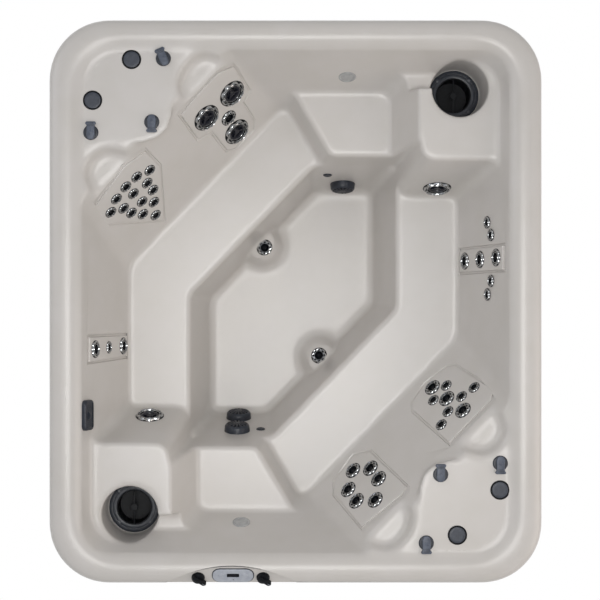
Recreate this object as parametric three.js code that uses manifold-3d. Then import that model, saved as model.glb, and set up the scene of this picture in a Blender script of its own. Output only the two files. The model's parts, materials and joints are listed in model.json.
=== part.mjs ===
// An acrylic hot tub for seven people, with its cabinet, jets, filters and controls.
// Millimetres, +Z up. +X is the bather's right when the controls are in front, at -Y.
// The basin repeats itself when it is turned half way round, so most outlines list one half.
import * as THREE from "three";
import { mergeVertices } from "three/addons/utils/BufferGeometryUtils.js";
import Module from "manifold-3d";

const wasm = await Module();
wasm.setup();

// Driving dimensions
const tub = { width: 2134, length: 2438, height: 965 };
const levelShare = { bench: 0.4974, step: 0.6425, weir: 0.7876, plateau: 0.8808 };
const depth = { deck: 27, scoop: 53 };
const level = {
  footwell: 100, bench: tub.height * levelShare.bench, step: tub.height * levelShare.step,
  weir: tub.height * levelShare.weir, plateau: tub.height * levelShare.plateau, deck: tub.height - depth.deck,
  scoop: tub.height - depth.deck - depth.scoop,
};
const clearance = 0.3;
const overrun = 4;
const holeSides = 6;
const sheet = { wall: 8, floorRadius: 18, cornerSteps: 2 };
const rim = {
  cornerRadius: 260, cornerSteps: 5, innerRadius: 150, skirtDrop: 85, rollDrop: 30, shoulderDrop: 8,
  rollInset: 10, crestInset: 32, sideWidth: 137, endWidth: 123, flare: 42, lip: 1.2,
};
const half = { x: tub.width / 2, y: tub.length / 2 };
const deckHalf = { x: half.x - rim.sideWidth, y: half.y - rim.endWidth };

const finish = {
  acrylic: { color: 0xcac6be, roughness: 0.25, metalness: 0 },
  slate: { color: 0x2c3038, roughness: 0.5, metalness: 0 },
  lever: { color: 0x5e6878, roughness: 0.45, metalness: 0 },
  chrome: { color: 0xc9cbce, roughness: 0.12, metalness: 1 },
  silver: { color: 0x9aa6b5, roughness: 0.35, metalness: 0.4 },
  panel: { color: 0x6b5a4c, roughness: 0.65, metalness: 0 },
  timber: { color: 0xb08a5c, roughness: 0.8, metalness: 0 },
  pack: { color: 0xb9bcc0, roughness: 0.5, metalness: 0 },
  pipe: { color: 0xe4e4e0, roughness: 0.5, metalness: 0 },
  motor: { color: 0x35383d, roughness: 0.45, metalness: 0.3 },
  lens: { color: 0xdfe6ea, roughness: 0.2, metalness: 0 },
};

const hotTub = new THREE.Group();

// Solids: closed three.js geometry in, joined or cut geometry out

const toSolid = (geometry) => {
  const bare = geometry.clone();
  bare.deleteAttribute("normal");
  bare.deleteAttribute("uv");
  const merged = mergeVertices(bare);
  const vertProperties = Float32Array.from(merged.attributes.position.array);
  const triVerts = Uint32Array.from(merged.index.array);
  return new wasm.Manifold(new wasm.Mesh({ numProp: 3, vertProperties, triVerts }));
};

const toGeometry = (solid) => {
  const mesh = solid.getMesh();
  const geometry = new THREE.BufferGeometry();
  geometry.setAttribute("position", new THREE.BufferAttribute(mesh.vertProperties, 3));
  geometry.setIndex(new THREE.BufferAttribute(mesh.triVerts, 1));
  geometry.computeVertexNormals();
  return geometry;
};

const join = (solids) => solids.reduce((whole, solid) => whole.add(solid));
const cutAll = (solid, cutters) => cutters.reduce((rest, cutter) => rest.subtract(cutter), solid);

const addMesh = (name, solid, material, matrix = new THREE.Matrix4()) => {
  const mesh = new THREE.Mesh(toGeometry(solid), new THREE.MeshStandardMaterial(material));
  mesh.name = name;
  mesh.applyMatrix4(matrix);
  hotTub.add(mesh);
  return mesh;
};

// A loft between rings of equally many points, closed by a cap at each end
const loft = (rings) => {
  const count = rings[0].length;
  const positions = rings.flat().flatMap((point) => [point.x, point.y, point.z]);
  const index = [];
  for (let band = 0; band < rings.length - 1; band += 1) {
    for (let i = 0; i < count; i += 1) {
      const next = (i + 1) % count;
      const low = band * count;
      const high = low + count;
      index.push(low + i, low + next, high + next);
      index.push(low + i, high + next, high + i);
    }
  }
  const flat = (ring) => ring.map((point) => new THREE.Vector2(point.x, point.y));
  const top = (rings.length - 1) * count;
  THREE.ShapeUtils.triangulateShape(flat(rings[0]), []).forEach(([a, b, c]) => index.push(a, c, b));
  THREE.ShapeUtils.triangulateShape(flat(rings[rings.length - 1]), [])
    .forEach(([a, b, c]) => index.push(top + a, top + b, top + c));
  const geometry = new THREE.BufferGeometry();
  geometry.setAttribute("position", new THREE.Float32BufferAttribute(positions, 3));
  geometry.setIndex(index);
  return toSolid(geometry);
};

const atHeight = (points, z) => points.map((point) => new THREE.Vector3(point.x, point.y, z));

// Rounds the corners of a closed outline with arcs, shortened where an edge has no room for them
const cornerRoomShare = 0.46;
const roundCorners = (corners, radii, steps) => corners.flatMap((corner, i) => {
  const count = corners.length;
  const toBefore = corners[(i + count - 1) % count].clone().sub(corner);
  const toAfter = corners[(i + 1) % count].clone().sub(corner);
  const room = Math.min(toBefore.length(), toAfter.length()) * cornerRoomShare;
  toBefore.normalize();
  toAfter.normalize();
  const turn = Math.sign(toAfter.cross(toBefore)) || 1;
  const halfAngle = Math.acos(THREE.MathUtils.clamp(toBefore.dot(toAfter), -1, 1)) / 2;
  const reach = Math.min(radii[i] / Math.tan(halfAngle), room);
  const radius = reach * Math.tan(halfAngle);
  const centre = toBefore.clone().add(toAfter).normalize().multiplyScalar(reach / Math.cos(halfAngle)).add(corner);
  const start = toBefore.clone().multiplyScalar(reach).add(corner).sub(centre).angle();
  const sweep = turn * (Math.PI - 2 * halfAngle);
  return Array.from({ length: steps + 1 }, (_, step) => {
    const angle = start + (sweep * step) / steps;
    return new THREE.Vector2(Math.cos(angle), Math.sin(angle)).multiplyScalar(radius).add(centre);
  });
});

// Moves every edge of an outline outwards by its own distance and meets the neighbours again
const offsetEdges = (corners, distances) => {
  const count = corners.length;
  const edges = corners.map((corner, i) => {
    const along = corners[(i + 1) % count].clone().sub(corner).normalize();
    const out = new THREE.Vector2(along.y, -along.x);
    return { along, point: out.multiplyScalar(distances[i]).add(corner) };
  });
  return edges.map((edge, i) => {
    const before = edges[(i + count - 1) % count];
    const gap = edge.point.clone().sub(before.point);
    const distance = gap.cross(edge.along) / before.along.cross(edge.along);
    return before.along.clone().multiplyScalar(distance).add(before.point);
  });
};

// A drafted hollow: its floor outline, the lean of each wall in travel per rise, and its radii
class Hollow {
  constructor(settings) {
    Object.assign(this, { steps: sheet.cornerSteps, floorRadius: sheet.floorRadius }, settings);
  }

  ring(z, grow, inset = 0) {
    const distances = this.leans.map((lean) => lean * (z - this.floor) + grow * Math.hypot(1, lean) - inset);
    const moved = offsetEdges(this.corners, distances);
    return atHeight(roundCorners(moved, this.radii, this.steps), z);
  }

  solid(grow = 0, top = this.top) {
    const base = this.floor - grow;
    const radius = this.floorRadius;
    return loft([this.ring(base, grow, radius), this.ring(base + radius, grow), this.ring(top, grow)]);
  }

  // The place on a wall, by shares along its floor edge and up its slope, with local Z off the wall
  wallPlace(edge, alongShare, upShare, lift = 0) {
    const from = this.corners[edge];
    const to = this.corners[(edge + 1) % this.corners.length];
    const lean = this.leans[edge];
    const along = new THREE.Vector3(to.x - from.x, to.y - from.y, 0).normalize();
    const up = new THREE.Vector3(along.y * lean, -along.x * lean, 1).normalize();
    const off = up.clone().cross(along);
    const slope = (this.top - this.floor) * Math.hypot(1, lean);
    const origin = new THREE.Vector3(from.x, from.y, this.floor);
    origin.addScaledVector(along, alongShare * from.distanceTo(to));
    origin.addScaledVector(up, upShare * slope);
    origin.addScaledVector(off, lift);
    return new THREE.Matrix4().makeBasis(along.negate(), up, off).setPosition(origin);
  }
}

const fromShares = (shares) => shares.map(([x, y]) => new THREE.Vector2(x * half.x, y * half.y));
const turned = (points) => points.map((point) => point.clone().negate());
const twice = (list) => [...list, ...list];
const bothHalves = (shares) => [...fromShares(shares), ...turned(fromShares(shares))];
const halfTurn = new THREE.Matrix4().makeRotationZ(Math.PI);

// Round solids: a profile of [radius, height] turned about Z, cylinders and bars

const revolve = (profile, sides) => {
  const points = profile.map(([radius, z]) => new THREE.Vector2(radius, z));
  if (THREE.ShapeUtils.isClockWise(points)) {
    points.reverse();
  }
  return toSolid(new THREE.LatheGeometry(points, sides).rotateX(Math.PI / 2));
};

const disc = (radius, low, high, sides) => revolve([[0, low], [radius, low], [radius, high], [0, high]], sides);

const box = (x, y, z, place) => toSolid(new THREE.BoxGeometry(x, y, z).translate(...place));

const prism = (points, low, high) => loft([atHeight(points, low), atHeight(points, high)]);

const bar = (from, to, radius, sides) => {
  const along = to.clone().sub(from);
  const geometry = new THREE.CylinderGeometry(radius, radius, along.length(), sides);
  const turn = new THREE.Quaternion().setFromUnitVectors(new THREE.Vector3(0, 1, 0), along.clone().normalize());
  geometry.applyQuaternion(turn);
  geometry.translate(...from.clone().add(to).divideScalar(2).toArray());
  return toSolid(geometry);
};

const moved = (solid, matrix) => {
  const geometry = toGeometry(solid);
  geometry.applyMatrix4(matrix);
  return toSolid(geometry);
};

const shift = (x, y, z) => new THREE.Matrix4().makeTranslation(x, y, z);
const local = (x, y, z) => new THREE.Vector3(x, y, z);

// The hollows of the basin

// Bench outline: plateau front, plateau side, riser, step side, end wall, backrest, side wall
const benchShare = { side: 0.719, end: 0.735 };
const benchHalfShares = [
  [benchShare.side, 0.404], [0.448, 0.404], [0.448, 0.517], [0.126, 0.517], [-0.019, benchShare.end],
  [-0.06, benchShare.end], [-benchShare.side, 0.14],
];
// The side and end walls lean so far that they end just inside the deck's edge
const benchRise = level.deck - level.bench;
const sideLean = (deckHalf.x - rim.lip - benchShare.side * half.x) / benchRise;
const endLean = (deckHalf.y - rim.lip - benchShare.end * half.y) / benchRise;
const benchLeanShares = [0.351, 0.2, 0.218, 0.31, endLean, 0.683, sideLean];
const benchWall = { plateau: 0, end: 4, backrest: 5, side: 6 };
const benchHalfCount = benchHalfShares.length;
const benchRadius = { outer: 45, nose: 120, riser: 40, step: 45, end: 60, side: 110 };
const benchRadii = ["outer", "nose", "riser", "step", "end", "end", "side"].map((name) => benchRadius[name]);
const crest = tub.height + overrun;
const bench = new Hollow({
  corners: bothHalves(benchHalfShares), leans: twice(benchLeanShares), radii: twice(benchRadii),
  floor: level.bench, top: level.deck,
});

const footwellHalfShares = [[0.377, 0.449], [0.106, 0.449], [-0.377, 0.013]];
const footwellLeanShares = [benchLeanShares[2], 0.17, benchLeanShares[1]];
const footwellRadius = { corner: 45, floor: 25 };
const footwell = new Hollow({
  corners: bothHalves(footwellHalfShares), leans: twice(footwellLeanShares),
  radii: twice(footwellHalfShares.map(() => footwellRadius.corner)),
  floor: level.footwell, top: level.bench, floorRadius: footwellRadius.floor,
});

const stepShares = [[0.415, 0.459], [0.415, 0.785], [-0.056, 0.785], [-0.056, 0.656], [0.141, 0.459]];
const stepLeanShares = [0.435, endLean, 0, 0, 0];
const stepWall = { end: 1 };
const stepRadius = 55;
const makeStep = () => new Hollow({
  corners: fromShares(stepShares), leans: stepLeanShares, radii: stepShares.map(() => stepRadius),
  floor: level.step, top: level.deck,
});

// The plateau round the filter well, between the side wall and the end wall of the bench
const plateau = { innerShare: 0.469, frontShare: 0.459, radius: 130 };
const plateauRise = level.plateau - level.bench;
const plateauOuterX = half.x * benchShare.side + plateauRise * sideLean;
const plateauOuterY = half.y * benchShare.end + plateauRise * endLean;
const makePlateau = () => new Hollow({
  corners: [
    new THREE.Vector2(plateauOuterX, half.y * plateau.frontShare),
    new THREE.Vector2(plateauOuterX, plateauOuterY),
    new THREE.Vector2(half.x * plateau.innerShare, plateauOuterY),
    new THREE.Vector2(half.x * plateau.innerShare, half.y * plateau.frontShare),
  ],
  leans: [sideLean, endLean, 0, 0],
  radii: [sheet.floorRadius, plateau.radius, sheet.floorRadius, sheet.floorRadius],
  floor: level.plateau, top: level.deck,
});

// The filter well: a round pot with a weir that opens towards the step
const well = { radius: 119, depth: 238, sides: 14, draft: 0.02, fromSide: 171.5, fromEnd: 120.8 };
const wellLedge = level.plateau - well.depth;
const weir = { frontOffset: 8, startShare: 0.44, lean: 0.08, radius: 6, ease: 1 };
const wellCentre = new THREE.Vector2(plateauOuterX - well.fromSide, plateauOuterY - well.fromEnd);
const circle = (centre, radius, sides) => Array.from({ length: sides }, (_, i) => {
  const angle = (2 * Math.PI * i) / sides;
  return new THREE.Vector2(Math.cos(angle), Math.sin(angle)).multiplyScalar(radius).add(centre);
});
const wellSolid = (grow, top) => {
  const floor = wellLedge - grow;
  const topRadius = well.radius + grow + (top - floor) * well.draft;
  return loft([
    atHeight(circle(wellCentre, well.radius + grow, well.sides), floor),
    atHeight(circle(wellCentre, topRadius, well.sides), top),
  ]);
};
// The weir runs along the foot of the end wall
const weirEndY = half.y * benchShare.end + (level.weir - level.bench) * endLean - weir.ease;
const makeWeir = () => new Hollow({
  corners: [
    new THREE.Vector2(wellCentre.x, wellCentre.y + weir.frontOffset),
    new THREE.Vector2(wellCentre.x, weirEndY),
    new THREE.Vector2(weir.startShare * half.x, weirEndY),
    new THREE.Vector2(weir.startShare * half.x, wellCentre.y + weir.frontOffset),
  ],
  leans: [0, endLean, 0, weir.lean], radii: Array(4).fill(weir.radius), floor: level.weir, top: level.deck,
  floorRadius: weir.radius,
});

// Two shallow scoops for the head beside each corner deck, open towards the backrest
const lowScoopShares = [
  [-0.638, 0.486], [-0.695, 0.52], [-0.763, 0.536], [-0.815, 0.513], [-0.848, 0.459], [-0.825, 0.404],
  [-0.785, 0.35],
];
const highScoopShares = [
  [-0.258, 0.83], [-0.319, 0.863], [-0.361, 0.874], [-0.405, 0.863], [-0.448, 0.82], [-0.467, 0.771],
  [-0.459, 0.738], [-0.406, 0.692],
];
const scoop = { radius: 60, lean: 0.35 };
const makeScoop = (shares) => new Hollow({
  corners: fromShares(shares), leans: shares.map(() => scoop.lean), radii: shares.map(() => scoop.radius),
  floor: level.scoop, top: level.deck, steps: 1,
});

// The deck recess: everything inside the rim crest
const rectangle = (x, y) => [[x, -y], [x, y], [-x, y], [-x, -y]].map(([a, b]) => new THREE.Vector2(a, b));
const flareLean = rim.flare / (tub.height - level.deck);
const deck = new Hollow({
  corners: rectangle(deckHalf.x, deckHalf.y), leans: Array(4).fill(flareLean),
  radii: Array(4).fill(rim.innerRadius), floor: level.deck, top: tub.height, steps: 3, floorRadius: overrun,
});

// Solid forms that stand out into the hollows: deck noses and footwell jet pads
const noseTopShares = [
  [-0.68, 0.72], [-0.73, 0.552], [-0.62, 0.562], [-0.557, 0.578], [-0.516, 0.61], [-0.497, 0.668], [-0.5, 0.79],
];
const noseTipIndex = 3;
const nose = { depth: 150, inset: 75, radius: 55 };
const noseSolid = (grow) => {
  const corners = fromShares(noseTopShares);
  const rings = [[level.deck - nose.depth, nose.inset], [level.deck, 0]].map(([z, inset]) => {
    const grown = offsetEdges(corners, corners.map(() => grow));
    const outline = roundCorners(grown, corners.map(() => nose.radius), 1);
    const travel = corners[0].clone().sub(corners[noseTipIndex]).setLength(inset);
    return atHeight(outline.map((point) => point.clone().add(travel)), z + grow);
  });
  return loft(rings);
};

const pad = {
  xShare: -0.132, yShare: 0.222, baseRadius: 114, topRadius: 68, height: 96, tiltDrop: 26, sides: 12, jetShift: 12,
};
const padCentre = new THREE.Vector2(pad.xShare * half.x, pad.yShare * half.y);
const backrestAlong = footwell.corners[2].clone().sub(footwell.corners[1]).normalize();
const padOut = new THREE.Vector2(backrestAlong.y, -backrestAlong.x);
const padTilt = pad.tiltDrop / pad.topRadius;
const padSolid = (grow) => {
  const low = atHeight(circle(padCentre, pad.baseRadius + grow, pad.sides), level.footwell - sheet.wall * 2);
  const high = circle(padCentre, pad.topRadius + grow, pad.sides).map((point) => {
    const drop = point.clone().sub(padCentre).dot(padOut) * padTilt;
    return new THREE.Vector3(point.x, point.y, level.footwell + pad.height + grow + drop);
  });
  return loft([low, high]);
};

// The front rim has an arched pocket with a slanted floor for the controls
const fascia = {
  xShare: -0.259, halfChord: 280, rise: 76, crestDrop: 14, slope: 0.6, thickness: 7, seam: 2, arcSteps: 8,
};
const fasciaRadius = (fascia.halfChord ** 2 + fascia.rise ** 2) / (2 * fascia.rise);
const fasciaX = fascia.xShare * half.x;
const fasciaApexY = -half.y + fascia.rise;
const fasciaZ = (y) => tub.height - fascia.crestDrop + (y - fasciaApexY) * fascia.slope;
const archPoints = (grow) => {
  const radius = fasciaRadius + grow;
  const centreY = fasciaApexY - fasciaRadius;
  const reach = Math.acos((fasciaRadius - fascia.rise) / radius);
  const arc = Array.from({ length: fascia.arcSteps + 1 }, (_, i) => {
    const angle = Math.PI / 2 - reach + (2 * reach * i) / fascia.arcSteps;
    return new THREE.Vector2(fasciaX + radius * Math.cos(angle), centreY + radius * Math.sin(angle));
  });
  return arc;
};
const archSolid = (grow, front, lift, top) => {
  const arc = archPoints(grow);
  const last = arc[arc.length - 1];
  const outline = [...arc, new THREE.Vector2(last.x, front), new THREE.Vector2(arc[0].x, front)];
  const low = outline.map((point) => new THREE.Vector3(point.x, point.y, fasciaZ(point.y) + lift));
  const high = outline.map((point) => {
    const slantedTop = fasciaZ(point.y) + lift + fascia.thickness;
    return new THREE.Vector3(point.x, point.y, top === undefined ? slantedTop : top);
  });
  return loft([low, high]);
};
const fasciaTilt = Math.atan(fascia.slope);
// A place on the plate, by the share of its half chord and the share of its rise, with Z off the plate
const fasciaPlace = (acrossShare, upShare, lift) => {
  const y = -half.y + upShare * fascia.rise;
  const matrix = new THREE.Matrix4().makeRotationX(fasciaTilt);
  const off = new THREE.Vector3(0, 0, lift).applyMatrix4(matrix);
  return matrix.setPosition(fasciaX + acrossShare * fascia.halfChord + off.x, y + off.y, fasciaZ(y) + off.z);
};
const plateLift = (clearance + fascia.thickness) * Math.cos(fasciaTilt);

// The jets: face radius, body radius behind the wall, length and number of sides
const jetKinds = {
  mini: { face: 28, body: 15, sides: 6 },
  medium: { face: 39.5, body: 23, sides: 8 },
  rotary: { face: 65, body: 38, sides: 12 },
};
const jet = { depth: 46, proudShare: 0.2, crestShare: 0.78, dishShare: 0.06 };
const podThickness = 28;
const panel = { raise: 3 };

const jetProfile = ({ face, body }) => [
  [0, face * jet.dishShare], [face * jet.crestShare, face * jet.proudShare], [face, clearance], [body, clearance],
  [body, -jet.depth], [0, -jet.depth],
];
const turret = { seatShare: 0.7, hubShare: 0.2, spokeShare: 0.13, drop: 14, spokes: 3, hubSides: 6 };
const rotaryProfile = ({ face, body }) => [
  [0, -turret.drop], [face * turret.seatShare, -turret.drop], [face * turret.seatShare, face * jet.proudShare],
  [face * jet.crestShare, face * jet.proudShare], [face, clearance + face * jet.dishShare], [face, clearance],
  [body * 1.25, clearance], [body * 1.25, -jet.depth], [0, -jet.depth],
];

// The turning face: a ring with three spokes on a hub
const rotaryFace = () => {
  const { face, sides } = jetKinds.rotary;
  const outer = face * turret.seatShare * Math.cos(Math.PI / sides) - clearance;
  const inner = outer * turret.seatShare;
  const low = clearance - turret.drop;
  const high = face * jet.dishShare;
  const ring = revolve([[inner, low], [outer, low], [outer, high], [inner, high], [inner, low]], sides);
  const hub = disc(face * turret.hubShare, low, high, turret.hubSides);
  const spokes = Array.from({ length: turret.spokes }, (_, i) => {
    const width = face * turret.spokeShare;
    const spoke = box(inner + width / 2, width, high - low, [(inner + width / 2) / 2, 0, (high + low) / 2]);
    return moved(spoke, new THREE.Matrix4().makeRotationZ((2 * Math.PI * i) / turret.spokes));
  });
  return join([ring, hub, ...spokes]);
};

// The jet groups, by shares along the wall and up its slope; the outline is the raised facet round them
const jetGroups = [
  {
    name: "jet_pod_left_seat", edge: benchWall.backrest,
    outlineShares: [
      [0.577, 0.827], [0.578, 0.582], [0.738, 0.076], [0.933, 0.579], [0.931, 0.788], [0.69, 0.882],
    ],
    mini: [
      [0.622, 0.642], [0.683, 0.699], [0.67, 0.557], [0.747, 0.71], [0.674, 0.445], [0.746, 0.586],
      [0.814, 0.689], [0.745, 0.442], [0.71, 0.332], [0.823, 0.548], [0.814, 0.44], [0.874, 0.626],
      [0.783, 0.326], [0.747, 0.202],
    ],
  },
  {
    name: "jet_pod_rear_seat", edge: benchWall.backrest,
    outlineShares: [
      [0.045, 0.777], [0.06, 0.44], [0.116, 0.398], [0.127, 0.139], [0.16, 0.06], [0.27, 0.06],
      [0.307, 0.121], [0.301, 0.424], [0.37, 0.481], [0.357, 0.82], [0.287, 0.846], [0.117, 0.856],
    ],
    rotary: [[0.125, 0.573], [0.281, 0.591], [0.219, 0.2]],
    medium: [[0.206, 0.393]],
  },
  {
    name: "jet_pod_right_seat", edge: benchHalfCount + benchWall.backrest,
    outlineShares: [
      [0.894, 0.22], [0.919, 0.745], [0.878, 0.793], [0.62, 0.795], [0.615, 0.229], [0.643, 0.15],
      [0.74, 0.1], [0.866, 0.15],
    ],
    medium: [[0.751, 0.206], [0.756, 0.424], [0.764, 0.656]],
    mini: [[0.799, 0.31], [0.873, 0.564], [0.711, 0.321], [0.806, 0.532], [0.716, 0.541], [0.653, 0.591]],
  },
  {
    name: "jet_pod_front_seat", edge: benchHalfCount + benchWall.backrest,
    outlineShares: [
      [0.345, 0.2], [0.351, 0.79], [0.311, 0.818], [0.09, 0.741], [0.095, 0.24], [0.141, 0.13],
      [0.278, 0.081],
    ],
    medium: [[0.23, 0.215], [0.294, 0.348], [0.288, 0.505], [0.156, 0.335], [0.149, 0.499], [0.213, 0.649]],
  },
  {
    name: "jet_pod_left_wall", edge: benchWall.side,
    outlineShares: [[0.495, 0.83], [0.495, 0.035], [0.64, 0.035], [0.655, 0.83]],
    medium: [[0.575, 0.72], [0.566, 0.125]],
    mini: [[0.569, 0.438]],
  },
  {
    name: "jet_pod_right_wall", edge: benchHalfCount + benchWall.side,
    outlineShares: [[0.615, 0.04], [0.625, 0.87], [0.468, 0.87], [0.46, 0.04]],
    medium: [[0.538, 0.152], [0.543, 0.45], [0.55, 0.753]],
    mini: [[0.79, 0.583], [0.703, 0.653], [0.395, 0.653], [0.305, 0.589]],
    tie: [[0.79, 0.583], [0.703, 0.653], [0.55, 0.7], [0.395, 0.653], [0.305, 0.589]],
  },
];
const jetClusters = ["mini", "medium", "rotary"];

// The outline of a group's facet in the wall's own plane, measured from the wall's first corner
const wallSize = (hollow, edge) => {
  const from = hollow.corners[edge];
  const to = hollow.corners[(edge + 1) % hollow.corners.length];
  return { along: from.distanceTo(to), up: (hollow.top - hollow.floor) * Math.hypot(1, hollow.leans[edge]) };
};
const wallOutline = (shares, size, grow) => {
  const corners = shares.map(([along, up]) => new THREE.Vector2(-along * size.along, up * size.up));
  const ordered = THREE.ShapeUtils.isClockWise(corners) ? corners.reverse() : corners;
  return offsetEdges(ordered, ordered.map(() => grow));
};

const shellCutters = [];
const shellAdditions = [];
const holeRadius = (kind) => (kind === "rotary" ? jetKinds.rotary.body * 1.25 : jetKinds[kind].body) + clearance;
// A hole has few sides under its cover, so its flats and not its corners clear the round body
const hole = (radius, low, high, sides = holeSides) => {
  const cornerRadius = radius / Math.cos(Math.PI / sides);
  return disc(cornerRadius, low, high, sides);
};
const holeThrough = (radius) => hole(radius, -sheet.wall - overrun, panel.raise + overrun);

const podInset = 14;
const podPipe = { radius: 11, sides: 6 };
const rotaryFacePlaces = [];
jetGroups.forEach((group) => {
  const size = wallSize(bench, group.edge);
  const origin = bench.wallPlace(group.edge, 0, 0);
  const facet = prism(wallOutline(group.outlineShares, size, 0), -sheet.wall / 2, panel.raise);
  shellAdditions.push(moved(facet, origin));
  const low = -jet.depth - podThickness / 2;
  const pod = prism(wallOutline(group.outlineShares, size, -podInset), low, low + podThickness);
  const bodies = [pod];
  const tieZ = low + podThickness / 2;
  const tiePoints = (group.tie || []).map(([along, up]) => local(-along * size.along, up * size.up, tieZ));
  tiePoints.slice(1).forEach((to, i) => bodies.push(bar(tiePoints[i], to, podPipe.radius, podPipe.sides)));
  jetClusters.forEach((kind) => (group[kind] || []).forEach(([along, up]) => {
    const place = shift(-along * size.along, up * size.up, panel.raise);
    const profile = kind === "rotary" ? rotaryProfile(jetKinds.rotary) : jetProfile(jetKinds[kind]);
    bodies.push(moved(revolve(profile, jetKinds[kind].sides), place));
    shellCutters.push(moved(holeThrough(holeRadius(kind)), origin.clone().multiply(place)));
    if (kind === "rotary") {
      rotaryFacePlaces.push(origin.clone().multiply(place));
    }
  }));
  addMesh(group.name, join(bodies), finish.chrome, origin);
});
rotaryFacePlaces.forEach((place, i) => addMesh(`rotary_jet_face_${i + 1}`, rotaryFace(), finish.slate, place));

// One rotary jet in each plateau front, on its own elbow
const elbow = { length: 70, radius: 24, sides: 8 };
const sideJets = [
  { name: "rear", edge: benchWall.plateau, alongShare: 0.372, upShare: 0.18 },
  { name: "front", edge: benchHalfCount + benchWall.plateau, alongShare: 0.372, upShare: 0.2 },
];
sideJets.forEach(({ name, edge, alongShare, upShare }) => {
  const place = bench.wallPlace(edge, alongShare, upShare);
  const { sides } = jetKinds.rotary;
  const low = elbow.radius - jet.depth - elbow.length / 2;
  const pipe = bar(local(0, 0, low), local(0, elbow.length + elbow.radius, low), elbow.radius, elbow.sides);
  const riser = disc(elbow.radius, low, -jet.depth + overrun, elbow.sides);
  const ring = revolve(rotaryProfile(jetKinds.rotary), sides);
  addMesh(`side_jet_${name}`, join([ring, riser, pipe]), finish.chrome, place);
  addMesh(`side_jet_face_${name}`, rotaryFace(), finish.slate, place);
  shellCutters.push(moved(holeThrough(holeRadius("rotary")), place));
});

// The footwell jets stand on their pads and share one pipe under the floor
const padPlace = (() => {
  const off = new THREE.Vector3(-padOut.x * padTilt, -padOut.y * padTilt, 1).normalize();
  const across = new THREE.Vector3(-padOut.y, padOut.x, 0);
  const up = off.clone().cross(across);
  const origin = new THREE.Vector3(padCentre.x, padCentre.y, level.footwell + pad.height);
  return new THREE.Matrix4().makeBasis(across, up, off).setPosition(origin.addScaledVector(up, pad.jetShift));
})();
const footPipe = { radius: 20, drop: 30, sides: 8 };
const padPlaces = [padPlace, halfTurn.clone().multiply(padPlace)];
const footPipeZ = level.footwell - sheet.wall - footPipe.drop;
const footJets = padPlaces.map((place) => {
  shellCutters.push(moved(hole(holeRadius("medium"), -jet.depth, overrun), place));
  return moved(revolve(jetProfile(jetKinds.medium), jetKinds.medium.sides), place);
});
const footPipes = padPlaces.map((place, i) => {
  const top = local(0, 0, overrun - jet.depth).applyMatrix4(place);
  return bar(local(top.x, top.y, footPipeZ - footPipe.radius / 2), top, footPipe.radius, footPipe.sides + i);
});
const footEnds = padPlaces.map((place) => local(0, 0, -jet.depth).applyMatrix4(place).setZ(footPipeZ));
const footRun = bar(footEnds[0], footEnds[1], footPipe.radius, footPipe.sides);
addMesh("footwell_jets", join([...footJets, ...footPipes, footRun]), finish.chrome);

// Suction covers: a high grille on a threaded body, each group with its small vent fitting
const suction = {
  radius: 60, dome: 46, side: 32, shoulder: 42, body: 38, depth: 60, sides: 12, slots: 5, slotWidth: 6,
  slotStart: 16, slotEnd: 50, slotDepth: 7, draft: 2, shoulderShare: 0.86,
};
const vent = { radius: 21, proud: 7, body: 12, sides: 8 };
const tie = { radius: 11, sides: 6 };
const suctionSolid = () => {
  const profile = [
    [0, suction.dome], [suction.radius * suction.shoulderShare, suction.shoulder],
    [suction.radius - suction.draft, suction.side], [suction.radius, clearance], [suction.body, clearance],
    [suction.body, -suction.depth], [0, -suction.depth],
  ];
  const length = suction.slotEnd - suction.slotStart;
  const slots = Array.from({ length: suction.slots }, (_, i) => {
    const place = [suction.slotStart + length / 2, 0, suction.dome];
    const slot = box(length, suction.slotWidth, suction.slotDepth * 2, place);
    return moved(slot, new THREE.Matrix4().makeRotationZ((2 * Math.PI * i) / suction.slots));
  });
  return cutAll(revolve(profile, suction.sides), slots);
};
const ventSolid = () => revolve([
  [0, vent.proud], [vent.radius * 0.7, vent.proud], [vent.radius, clearance + vent.proud / 3],
  [vent.radius, clearance], [vent.body, clearance], [vent.body, -suction.depth], [0, -suction.depth],
], vent.sides);
const suctionGroups = [
  { name: "suction_rear", edge: 0, covers: [[0.54, 0.278]], vent: [0.815, 0.65] },
  { name: "suction_front", edge: 3, covers: [[0.5, 0.235], [0.485, 0.755]], vent: [0.87, 0.7] },
];
suctionGroups.forEach((group) => {
  const size = wallSize(footwell, group.edge);
  const origin = footwell.wallPlace(group.edge, 0, 0);
  const spots = [...group.covers, group.vent];
  const places = spots.map(([along, up]) => shift(-along * size.along, up * size.up, 0));
  const backs = places.map((place) => local(0, 0, tie.radius - suction.depth).applyMatrix4(place));
  const covers = group.covers.map((_, i) => moved(suctionSolid(), places[i]));
  const ventFitting = moved(ventSolid(), places[places.length - 1]);
  const ties = backs.slice(1).map((back, i) => bar(backs[i], back, tie.radius, tie.sides));
  addMesh(group.name, join([...covers, ventFitting, ...ties]), finish.slate, origin);
  group.covers.forEach((_, i) => {
    shellCutters.push(moved(holeThrough(suction.body + clearance), origin.clone().multiply(places[i])));
  });
  const ventPlace = origin.clone().multiply(places[places.length - 1]);
  shellCutters.push(moved(holeThrough(vent.body + clearance), ventPlace));
});

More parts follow.
